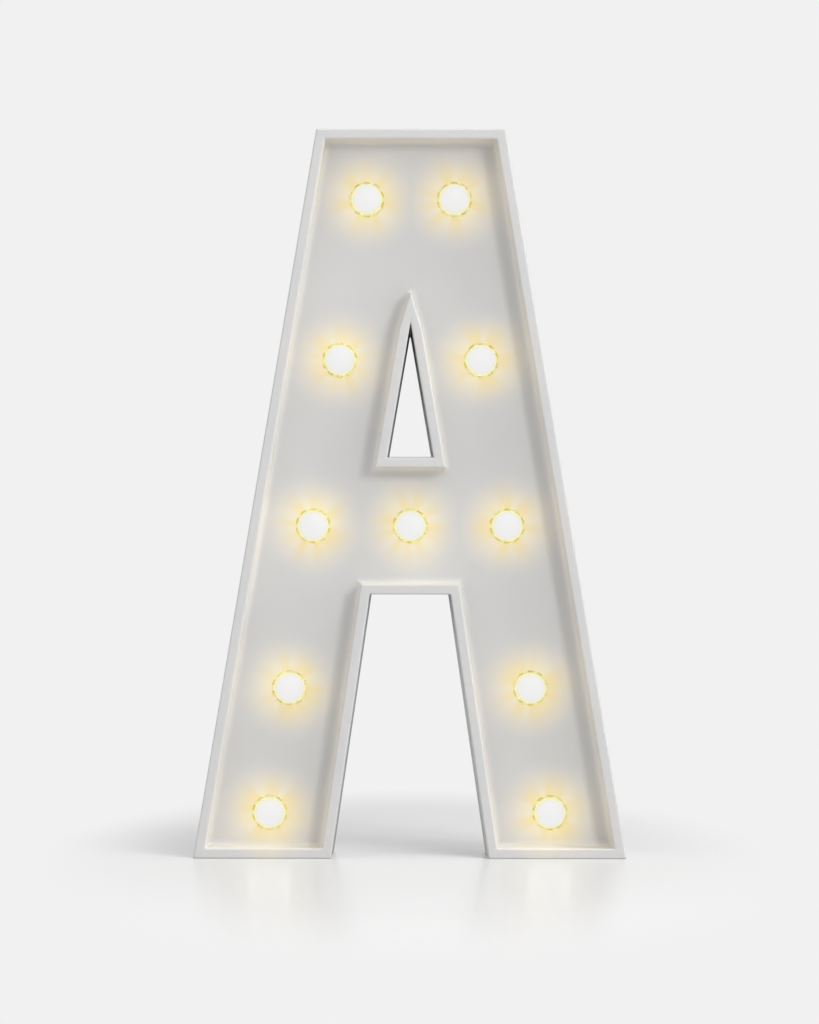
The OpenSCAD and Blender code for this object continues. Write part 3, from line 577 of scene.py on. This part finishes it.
def cell_jacket(name, button_x, far_x):
    """A plain grey jacket, with bare metal at both ends."""
    material, place = new_material(name)
    x = place.node("ShaderNodeSeparateXYZ", {}, {0: place})
    along = (x - button_x) / (far_x - button_x)
    scuffs = noise(place, 2.5 * mm, 5.0)
    bare = along.smooth(*flat_end_fade) + 1 - along.smooth(*button_fade)
    grey = scuffs.mix((0.25, 0.26, 0.28, 1), (0.34, 0.35, 0.37, 1))
    steel = scuffs.mix((0.5, 0.5, 0.5, 1), (0.65, 0.65, 0.65, 1))
    finish_surface(
        place,
        base_color=bare.mix(grey, steel),
        metallic=bare,
        roughness=0.22 + 0.2 * scuffs,
        normal=bump(scuffs, 0.01 * mm),
    )
    return material


print("cell jacket is ready")

# %% [markdown]
# ## Outlines
# The letter's shape is one outline of eight corners. Every line that runs round it, such as the inner
# edge of the rim, is the same outline moved inwards, so a helper moves an outline and another rounds its
# corners. With equal numbers of points, two such lines are joined by a band of four-sided faces.

# %% Move and round an outline
letter_outline = [
    Vector((-foot_half, 0)),
    Vector((-arch_foot_half, 0)),
    Vector((-arch_top_half, arch_h)),
    Vector((arch_top_half, arch_h)),
    Vector((arch_foot_half, 0)),
    Vector((foot_half, 0)),
    Vector((top_half, letter_h)),
    Vector((-top_half, letter_h)),
]


def leftward(start, end):
    """A step of length 1 to the left of the way from start to end."""
    along = (end - start).normalized()
    return Vector((-along.y, along.x))


def inset(outline, distance):
    """The outline moved inwards, or outwards where distance is below 0."""
    moved = []
    for i, corner in enumerate(outline):
        before = leftward(outline[i - 1], corner)
        after = leftward(corner, outline[(i + 1) % len(outline)])
        moved.append(corner + distance * (before + after) / (1 + before.dot(after)))
    return moved


def rounded(outline, radius, steps=4):
    """The outline with an arc in place of each corner."""
    points = []
    for i, corner in enumerate(outline):
        back = (outline[i - 1] - corner).normalized()
        ahead = (outline[(i + 1) % len(outline)] - corner).normalized()
        half = back.angle(ahead) / 2
        centre = corner + (back + ahead).normalized() * radius / math.sin(half)
        start = corner + back * radius / math.tan(half) - centre
        end = corner + ahead * radius / math.tan(half) - centre
        points += [centre + radius * start.slerp(end, k / steps) for k in range(steps + 1)]
    return points


def circle(centre, radius, count=48):
    """Points round a centre."""
    turn = 2 * math.pi / count
    return [centre + radius * Vector((math.cos(k * turn), math.sin(k * turn))) for k in range(count)]


def quarter(radius, steps=5):
    """Steps of a rounded edge as (across, down), from its top flat to its side."""
    angles = [math.pi / 2 * k / steps for k in range(steps + 1)]
    return [(radius * (1 - math.sin(a)), radius * (1 - math.cos(a))) for a in angles]


print("outline corners:", len(letter_outline))

# %% Bands, fills and finished meshes
def ring(bm, outline, y):
    """Mesh points along an outline at a depth y."""
    return [bm.verts.new((point.x, y, point.y)) for point in outline]


def mark(rings, layer):
    """Gives the points of some rings a value of 1 in a layer, which a shader can read by its name."""
    for points in rings:
        for vertex in points:
            vertex[layer] = 1.0


def skin(bm, rings):
    """Four-sided faces between each ring and the next."""
    for one, two in zip(rings, rings[1:]):
        for i in range(len(one)):
            j = (i + 1) % len(one)
            bm.faces.new((one[i], one[j], two[j], two[i]))


def fill(bm, loops):
    """Triangles over a flat area inside the first loop and outside the others."""
    edges = []
    for loop in loops:
        for i, vertex in enumerate(loop):
            pair = (vertex, loop[(i + 1) % len(loop)])
            edges.append(bm.edges.get(pair) or bm.edges.new(pair))
    bmesh.ops.triangle_fill(bm, use_beauty=True, use_dissolve=False, edges=edges)


def make_piece(bm, name, material, body, replaced, sharp=40):
    """Turns a bmesh into a piece that rides on a body and stands for CAD nodes."""
    bmesh.ops.recalc_face_normals(bm, faces=bm.faces)
    open_edges = sum(not edge.is_manifold for edge in bm.edges)
    mesh = bpy.data.meshes.new(name)
    bm.to_mesh(mesh)
    bm.free()
    mesh.shade_smooth()
    mesh.set_sharp_from_angle(angle=math.radians(sharp))
    mesh.materials.append(material)
    piece = bpy.data.objects.new(name, mesh)
    bpy.context.scene.collection.objects.link(piece)
    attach(piece, body)
    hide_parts(*replaced)
    if open_edges:
        print(name, "has open edges:", open_edges)
    return piece


print("mesh helpers are ready")

# %% [markdown]
# ## The front shell
# The shell is one moulding: the outer walls, the rim, the recess with its slightly sloped sides, the
# face with a hole for each bulb, and a tube through the letter that forms the window. It could be carved
# from a block by booleans, but bands between moved outlines give cleaner edges: each rounded edge is a
# few narrow bands, and only the flat areas with holes are filled with triangles. The arch and the window
# narrow a little towards the back, so that the moulding leaves its tool. The soft foot of the recess, the
# rounded corners and the chamfers of the holes are in this mesh alone.

# %% Sizes of the moulding
rim_w = 3.1 * mm
recess_draft = 0.2 * mm
opening_draft = 0.5 * mm
rim_edge_r = 0.5 * mm
rim_inner_r = 0.6 * mm
face_fillet_r = 2 * mm
back_edge_r = 0.4 * mm
wall_t = 2 * mm
corner_r = 0.45 * mm
window_corner_r = 0.12 * mm
hole_r = dome_r + 0.1 * mm
hole_chamfer = 0.15 * mm
window_half = 7 * mm
window_low = 120.95 * mm
window_high = 161.75 * mm
window_rim_tip = 171.05 * mm
shoulder_half = 3.56 * mm
shoulder_z = 159.35 * mm

window_outline = [
    Vector((-window_half, window_low)),
    Vector((window_half, window_low)),
    Vector((0, window_high)),
]
window_foot = inset(window_outline, -rim_w)[:2]
window_rim_outline = [
    *window_foot,
    Vector((shoulder_half, shoulder_z)),
    Vector((0, window_rim_tip)),
    Vector((-shoulder_half, shoulder_z)),
]
print("window rim corners in mm:", [[round(c / mm, 2) for c in p] for p in window_rim_outline])

# %% Levels of the walls as (inset, y)
wall_foot = rim_w + recess_draft
recess_levels = [(wall_foot + across, face_y - up) for across, up in quarter(face_fillet_r)]
recess_levels += [(rim_w - across, front_y + down) for across, down in reversed(quarter(rim_inner_r))]
front_edge = [(across, front_y + down) for across, down in quarter(rim_edge_r)]
back_edge = [(across, back_y - up) for across, up in reversed(quarter(back_edge_r))]
cavity = [(wall_t, back_y), (wall_t, face_back_y)]
print("bands round the letter:", len(recess_levels + front_edge + back_edge + cavity) - 1)

# %% Outlines that narrow towards the back
def draft_at(y):
    """How far the arch and the window have narrowed at a depth."""
    return opening_draft * (y - front_y) / (back_y - front_y)


def narrowed_outline(y):
    """The letter's outline at a depth, with its arch narrowed."""
    arch = inset(letter_outline, -draft_at(y))[2:4]
    slope = (arch_foot_half - arch_top_half) / arch_h
    foot_x = arch_foot_half - draft_at(y) * math.hypot(1, slope)
    outline = list(letter_outline)
    outline[1:5] = [Vector((-foot_x, 0)), *arch, Vector((foot_x, 0))]
    return outline


print("the arch narrows in mm by", round(draft_at(back_y) / mm, 2))

# %% Build the shell
screw_heights = [8 * mm, 75.75 * mm, 125.4 * mm, 212 * mm]
screw_inset = 8.5 * mm
boss_r = 3 * mm
boss_bore_r = 1.2 * mm
cover_in_y = 18.5 * mm


def outer_x(z):
    """Half the letter's width at a height."""
    return foot_half - (foot_half - top_half) * z / letter_h


screw_places = [Vector((side * (outer_x(z) - screw_inset), z)) for z in screw_heights for side in (-1, 1)]


def front_shell():
    """The whole moulding: bands round the letter, the window and the holes, then the flats between them."""
    bm = bmesh.new()
    recess_layer = bm.verts.layers.float.new("recess_wall")
    sides = [ring(bm, rounded(inset(letter_outline, d), corner_r), y) for d, y in recess_levels]
    sides += [
        ring(bm, rounded(inset(narrowed_outline(y), d), corner_r), y) for d, y in front_edge + back_edge
    ]
    sides += [ring(bm, rounded(inset(letter_outline, d), corner_r), y) for d, y in cavity]
    skin(bm, sides)
    window_sides = []
    for d, y in recess_levels:
        radius = window_corner_r + max(0, d - rim_w)
        window_sides.append(ring(bm, rounded(inset(window_rim_outline, rim_w - d), radius), y))
    skin(bm, window_sides)
    mark(sides[:len(recess_levels)] + window_sides, recess_layer)
    window_levels = front_edge + back_edge
    window_walls = [
        ring(bm, rounded(inset(window_outline, draft_at(y) - d), window_corner_r), y)
        for d, y in window_levels
    ]
    skin(bm, window_walls)
    tube = rounded(inset(window_rim_outline, rim_w - wall_t), window_corner_r)
    tube_walls = [ring(bm, tube, back_y), ring(bm, tube, face_back_y)]
    skin(bm, tube_walls)
    holes = []
    for bulb in bulbs:
        holes.append([
            ring(bm, circle(bulb, hole_r + hole_chamfer), face_y),
            ring(bm, circle(bulb, hole_r), face_y + hole_chamfer),
            ring(bm, circle(bulb, hole_r), face_back_y),
        ])
        skin(bm, holes[-1])
    fill(bm, [sides[0], window_sides[0]] + [hole[0] for hole in holes])
    fill(bm, [window_sides[-1], window_walls[0]])
    fill(bm, [tube_walls[0], window_walls[-1]])
    fill(bm, [sides[-1], tube_walls[-1]] + [hole[-1] for hole in holes])
    for place in screw_places:
        outer = circle(place, boss_r)
        bore = circle(place, boss_bore_r)
        boss = [ring(bm, outer, face_back_y), ring(bm, outer, cover_in_y), ring(bm, bore, cover_in_y)]
        boss.append(ring(bm, bore, face_back_y))
        skin(bm, boss + boss[:1])
    piece = make_piece(bm, "front_shell_moulding", white_with_painted_glow, "letter", ["front_shell"])
    weighted = piece.modifiers.new("even_flats", "WEIGHTED_NORMAL")
    weighted.keep_sharp = True
    return piece


shell = front_shell()
print("front shell faces:", len(shell.data.polygons))

# %% [markdown]
# ## Domes
# A dome is turned round its axis, as on a lathe: a profile of radius and height is drawn once and swept
# round. It is hollow, with a spigot that sits in the socket, so the profile runs up the outside, over the
# top, and back down the inside.

# %% Turn a profile round a bulb's axis
def turned(bm, profile, centre, seat_y, count=48):
    """Sweeps (radius, height) points round a bulb's axis, with height forwards from seat_y."""
    rings = []
    for radius, height in profile:
        y = seat_y - height
        if radius < near:
            rings.append([bm.verts.new((centre.x, y, centre.y))])
        else:
            rings.append(ring(bm, circle(centre, radius, count), y))
    for one, two in zip(rings, rings[1:]):
        for i in range(count):
            j = (i + 1) % count
            if len(one) == 1:
                bm.faces.new((one[0], two[j], two[i]))
            elif len(two) == 1:
                bm.faces.new((one[i], one[j], two[0]))
            else:
                bm.faces.new((one[i], one[j], two[j], two[i]))


seat_h = 0.4 * mm
dome_wall = 0.9 * mm
spigot_r = dome_r - 1.2 * mm
spigot_wall = 0.6 * mm
spigot_l = 1.2 * mm
dome_foot_chamfer = 0.2 * mm
cap_h = dome_h - dome_r


def cap(radius, steps=12):
    """A round cap from its top to its side, as (radius, height)."""
    angles = [math.pi / 2 * k / steps for k in range(steps + 1)]
    return [(radius * math.sin(a), cap_h + radius * math.cos(a)) for a in angles]


dome_profile = cap(dome_r) + [
    (dome_r, seat_h + dome_foot_chamfer),
    (dome_r - dome_foot_chamfer, seat_h),
    (spigot_r, seat_h),
    (spigot_r, -spigot_l),
    (spigot_r - spigot_wall, -spigot_l),
    (spigot_r - spigot_wall, seat_h + spigot_wall),
    (dome_r - dome_wall, seat_h + spigot_wall),
] + cap(dome_r - dome_wall)[::-1]

for i, bulb in enumerate(bulbs, 1):
    bm = bmesh.new()
    turned(bm, dome_profile, bulb, face_y)
    dome = make_piece(bm, f"bulb_dome_{i}_glass", bulb_frost, "letter", [f"bulb_dome_{i}"])
    dome.visible_shadow = False
print("domes:", bulb_count)

# %% [markdown]
# ## Light from the bulbs
# The glow of the domes is just strong enough to look white, so it throws little light. Each dome therefore
# also holds a small warm lamp. Domes and sockets cast no shadow, which lets that light out over the recess.
# The two lowest bulbs show on the floor as a soft shine, and a second lamp at each of them stands for it:
# it reaches the floor alone, and only by its gloss. These lamps aren't pieces of the letter.

# %% A small lamp inside each dome
def point_light(name, location, colour, power, radius):
    """A round lamp."""
    data = bpy.data.lights.new(name, "POINT")
    data.color = colour
    data.energy = power
    data.shadow_soft_size = radius
    lamp = bpy.data.objects.new(name, data)
    lamp.location = location
    bpy.context.scene.collection.objects.link(lamp)
    return lamp


lamp_h = 6.5 * mm
lamp_r = 0.5 * mm
lamp_power = 0.0009
lamp_colour = (1.0, 0.78, 0.45)
for i, bulb in enumerate(bulbs, 1):
    lamp_place = (bulb.x, face_y - lamp_h, bulb.y)
    lamp = point_light(f"bulb_light_{i}", lamp_place, lamp_colour, lamp_power, lamp_r)
    lamp.visible_glossy = False
print("lamps in the bulbs:", bulb_count)

# %% The shine of the lowest bulbs on the floor
shine_r = 1.5 * dome_r
shine_power = 0.0018
shine_colour = (0.7, 0.82, 1.0)
lowest = min(bulb.y for bulb in bulbs)
for bulb in bulbs:
    if bulb.y <= lowest + near:
        shine_place = (bulb.x, face_y - cap_h, bulb.y)
        shine = point_light("bulb_shine", shine_place, shine_colour, shine_power, shine_r)
        shine.visible_diffuse = False
        shine.light_linking.receiver_collection = bpy.data.collections["floor_include"]
print("the floor mirrors the bulbs at", round(lowest / mm, 1), "mm")

# %% [markdown]
# ## Sockets
# The socket's ring has ten teeth. A lathe can't cut teeth, so here the profile is set up again at each
# angle, tall at a tooth and low in a notch, and the profiles are joined to one closed band.

# %% Toothed socket
notch_count = 10
notch_half_w = 0.7 * mm
notch_at_r = 5.0 * mm
notch_half = math.asin(notch_half_w / notch_at_r)
notch_flat = 0.9
tooth_steps = 4
tooth_slope = math.radians(1.5)
ring_h = 1.4 * mm
ring_r = hole_r + 0.6 * mm
socket_bore_r = dome_r - 1.1 * mm
socket_end = -4.4 * mm
socket_back = -3.0 * mm
led_bore_r = 2.6 * mm
bead_h = -2.1 * mm
bead_l = 0.8 * mm
bead_r = dome_r + 0.35 * mm
bead_step = 0.05 * mm
notch_rise = 0.1 * mm
notch_edge = 0.04 * mm
tooth_edge = 0.12 * mm


def socket_profile(top, edge):
    """The socket's section as (radius, height), with its ring up to top."""
    return [
        (led_bore_r, socket_end),
        (dome_r, socket_end),
        (dome_r, bead_h - bead_l),
        (bead_r, bead_h),
        (dome_r, bead_h + bead_step),
        (dome_r, 0),
        (ring_r, 0),
        (ring_r, top - edge),
        (ring_r - edge, top),
        (hole_r + edge, top),
        (hole_r, top - edge),
        (hole_r, seat_h),
        (socket_bore_r, seat_h),
        (socket_bore_r, socket_back),
        (led_bore_r, socket_back),
    ]


def socket_columns():
    """(angle, section) all round, notch by notch."""
    low = socket_profile(seat_h + notch_rise, notch_edge)
    tall = socket_profile(ring_h, tooth_edge)
    pitch = 2 * math.pi / notch_count
    tooth = pitch - 2 * notch_half - 2 * tooth_slope
    columns = []
    for k in range(notch_count):
        middle = k * pitch
        columns += [(middle + turn * notch_half, low) for turn in (-notch_flat, 0, notch_flat)]
        start = middle + notch_half + tooth_slope
        columns += [(start + tooth * step / tooth_steps, tall) for step in range(tooth_steps + 1)]
    return columns


def toothed_socket(i, bulb):
    """One socket, with its sections joined all the way round."""
    bm = bmesh.new()
    columns = []
    for angle, section in socket_columns():
        way = Vector((math.cos(angle), math.sin(angle)))
        points = [(bulb + radius * way, face_y - height) for radius, height in section]
        columns.append([bm.verts.new((point.x, y, point.y)) for point, y in points])
    skin(bm, columns + columns[:1])
    name = f"bulb_socket_{i}"
    socket = make_piece(bm, name + "_ring", socket_gold, "letter", [name], 30)
    socket.visible_shadow = False


for i, bulb in enumerate(bulbs, 1):
    toothed_socket(i, bulb)
print("sockets:", bulb_count, "with", notch_count, "teeth each")

# %% [markdown]
# ## Screws
# Each screw has a pan head with a cross recess. The head is turned like a dome, up to a small flat, and
# the recess is a plus-shaped outline that is joined to the flat's edge and carried down with a taper.
# The eight cover screws are one piece of the frame, so they are one mesh here too.

# %% Pan-head screws
cover_out_y = 20.5 * mm
head_h = 1.4 * mm
head_edge = 0.25 * mm
head_flat = 0.62
head_steps = 5
shank_tip = 0.3
cross_reach = (0.52, 0.34)
cross_width = (0.12, 0.08)
cross_floor = 0.45


def plus_outline(centre, reach, width):
    """A plus sign as an outline of twelve corners."""
    arm = [(reach, -width), (reach, width), (width, width)]
    points = []
    for quarter_turn in range(4):
        for x, z in arm:
            for _ in range(quarter_turn):
                x, z = -z, x
            points.append(centre + Vector((x, z)))
    return points


def pan_screw(bm, centre, shank_r, shank_l, head_r):
    """A screw that enters the cover from behind, with the seat of its head on the cover."""
    flat_r = head_flat * head_r
    sections = [(shank_r * shank_tip, -shank_l), (shank_r, -shank_l + shank_r), (shank_r, 0)]
    sections += [(head_r, 0), (head_r, head_edge)]
    for k in range(1, head_steps + 1):
        angle = math.pi / 2 * k / head_steps
        radius = flat_r + (head_r - flat_r) * math.cos(angle)
        sections.append((radius, head_edge + (head_h - head_edge) * math.sin(angle)))
    rings = [ring(bm, circle(centre, radius, 32), cover_out_y + height) for radius, height in sections]
    skin(bm, rings)
    fill(bm, [rings[0]])
    cross = []
    for reach, width, share in zip(cross_reach, cross_width, (1, cross_floor)):
        outline = plus_outline(centre, reach * head_r, width * head_r)
        cross.append(ring(bm, outline, cover_out_y + share * head_h))
    skin(bm, cross)
    fill(bm, [rings[-1], cross[0]])
    fill(bm, [cross[1]])


def screw_piece(name, places, shank_r, shank_l, head_r):
    """All the screws of one kind as one piece."""
    bm = bmesh.new()
    for place in places:
        pan_screw(bm, place, shank_r, shank_l, head_r)
    make_piece(bm, name + "_steel", screw_steel, "letter", [name], 35)


switch_low, switch_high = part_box("switch_frame")
switch_z = (switch_low.z + switch_high.z) / 2
switch_screw_x = 8.5 * mm
switch_screw_places = [Vector((side * switch_screw_x, switch_z)) for side in (-1, 1)]
screw_piece("cover_screws", screw_places, shank_r=1.1 * mm, shank_l=13 * mm, head_r=2.5 * mm)
screw_piece("switch_screws", switch_screw_places, shank_r=0.9 * mm, shank_l=3.4 * mm, head_r=1.7 * mm)
print("screws:", len(screw_places) + len(switch_screw_places))

# %% [markdown]
# ## Contact springs
# A contact spring is one length of wire wound into a cone, which a curve with a round bevel shows better
# than faces placed one by one. The turns are worked out in a loop.

# %% Wind the springs
spring_wire_r = 0.35 * mm
spring_foot_r = 4.6 * mm
spring_tip_r = 2.8 * mm
spring_turns = 3.5
steps_per_turn = 24


def contact_spring(name, side):
    """A cone of wire from its plate on the given side to the flat end of a cell."""
    low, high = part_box(name)
    axis_y = (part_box("cell_1")[0].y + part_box("cell_1")[1].y) / 2
    cell_low, cell_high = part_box("cell_1" if side < 0 else "cell_2")
    axis_z = (cell_low.z + cell_high.z) / 2
    plate_x = low.x if side < 0 else high.x
    length = high.x - low.x
    steps = int(spring_turns * steps_per_turn)
    points = []
    for k in range(steps + 1):
        share = k / steps
        radius = spring_foot_r + (spring_tip_r - spring_foot_r) * share
        angle = 2 * math.pi * spring_turns * share
        along = spring_wire_r + (length - 2 * spring_wire_r) * share
        across = -side * radius * math.cos(angle)
        points.append((plate_x - side * along, axis_y + across, axis_z + radius * math.sin(angle)))
    data = bpy.data.curves.new(name + "_wire", "CURVE")
    data.dimensions = "3D"
    data.bevel_depth = spring_wire_r
    data.bevel_resolution = 3
    data.use_fill_caps = True
    spline = data.splines.new("POLY")
    spline.points.add(len(points) - 1)
    for spot, point in zip(spline.points, points):
        spot.co = (*point, 1)
    data.materials.append(contact_nickel)
    wire = bpy.data.objects.new(name + "_wire", data)
    bpy.context.scene.collection.objects.link(wire)
    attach(wire, "letter")
    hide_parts(name)


contact_spring("contact_spring_1", -1)
contact_spring("contact_spring_2", 1)
print("springs wound:", spring_turns, "turns each")

# %% [markdown]
# ## Pieces kept from the frame
# The back cover, the door, the switch and what lies inside already have their true shapes. They keep
# their meshes and get a finish. Real mouldings have no knife edges. Modifiers, which leave the mesh itself
# alone, join the split faces, take needless edges out of the flats, round what is sharp and shade the rest
# smooth. Normals weighted by area then keep the flats even.

# %% Soften edges with modifiers
def smooth_group(angle):
    """Geometry nodes that shade faces smooth, except across edges sharper than angle."""
    group = bpy.data.node_groups.new("smooth_shading", "GeometryNodeTree")
    group.interface.new_socket("Geometry", in_out="INPUT", socket_type="NodeSocketGeometry")
    group.interface.new_socket("Geometry", in_out="OUTPUT", socket_type="NodeSocketGeometry")
    entry = group.nodes.new("NodeGroupInput")
    leave = group.nodes.new("NodeGroupOutput")
    edge_angle = group.nodes.new("GeometryNodeInputMeshEdgeAngle")
    gentle = group.nodes.new("FunctionNodeCompare")
    gentle.data_type = "FLOAT"
    gentle.operation = "LESS_EQUAL"
    gentle.inputs["B"].default_value = angle
    faces = group.nodes.new("GeometryNodeSetShadeSmooth")
    faces.domain = "FACE"
    edges = group.nodes.new("GeometryNodeSetShadeSmooth")
    edges.domain = "EDGE"
    group.links.new(entry.outputs[0], faces.inputs["Geometry"])
    group.links.new(edge_angle.outputs["Unsigned Angle"], gentle.inputs["A"])
    group.links.new(faces.outputs[0], edges.inputs["Geometry"])
    group.links.new(gentle.outputs[0], edges.inputs["Shade Smooth"])
    group.links.new(edges.outputs[0], leave.inputs[0])
    return group


smooth_shading = smooth_group(math.radians(35))
bevel_from = math.radians(40)
same_point = 0.002 * mm


def dress(name, material, edge_r=0.0):
    """Gives a piece of the frame its finish, with edges rounded to edge_r."""
    piece = nodes[name]
    piece.data.materials.clear()
    piece.data.materials.append(material)
    weld = piece.modifiers.new("join_faces", "WELD")
    weld.merge_threshold = same_point
    if edge_r:
        flat = piece.modifiers.new("clear_flats", "DECIMATE")
        flat.decimate_type = "DISSOLVE"
        flat.angle_limit = math.radians(1)
        bevel = piece.modifiers.new("round_edges", "BEVEL")
        bevel.width = edge_r
        bevel.segments = 2
        bevel.limit_method = "ANGLE"
        bevel.angle_limit = bevel_from
    shading = piece.modifiers.new("smooth", "NODES")
    shading.node_group = smooth_shading
    if edge_r:
        even = piece.modifiers.new("even_flats", "WEIGHTED_NORMAL")
        even.keep_sharp = True


dress("back_cover", plain_white, edge_r=0.2 * mm)
dress("battery_door", plain_white, edge_r=0.2 * mm)
dress("switch_frame", screw_steel, edge_r=0.08 * mm)
dress("switch_base", switch_board, edge_r=0.08 * mm)
dress("switch_terminals", contact_nickel, edge_r=0.05 * mm)
dress("switch_knob", knob_black, edge_r=0.15 * mm)
for name in ("contact_plus", "contact_minus", "contact_bridge"):
    dress(name, contact_nickel)
cell_1_low, cell_1_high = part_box("cell_1")
cell_2_low, cell_2_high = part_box("cell_2")
dress("cell_1", cell_jacket("cell_jacket_1", cell_1_high.x, cell_1_low.x))
dress("cell_2", cell_jacket("cell_jacket_2", cell_2_low.x, cell_2_high.x))
for name in ("led_wire_plus", "wire_cells_to_switch", "wire_switch_to_leds"):
    dress(name, wire_red)
for name in ("led_wire_minus", "wire_cells_to_leds"):
    dress(name, wire_black)
for i in range(1, bulb_count + 1):
    dress(f"led_{i}", led_epoxy)
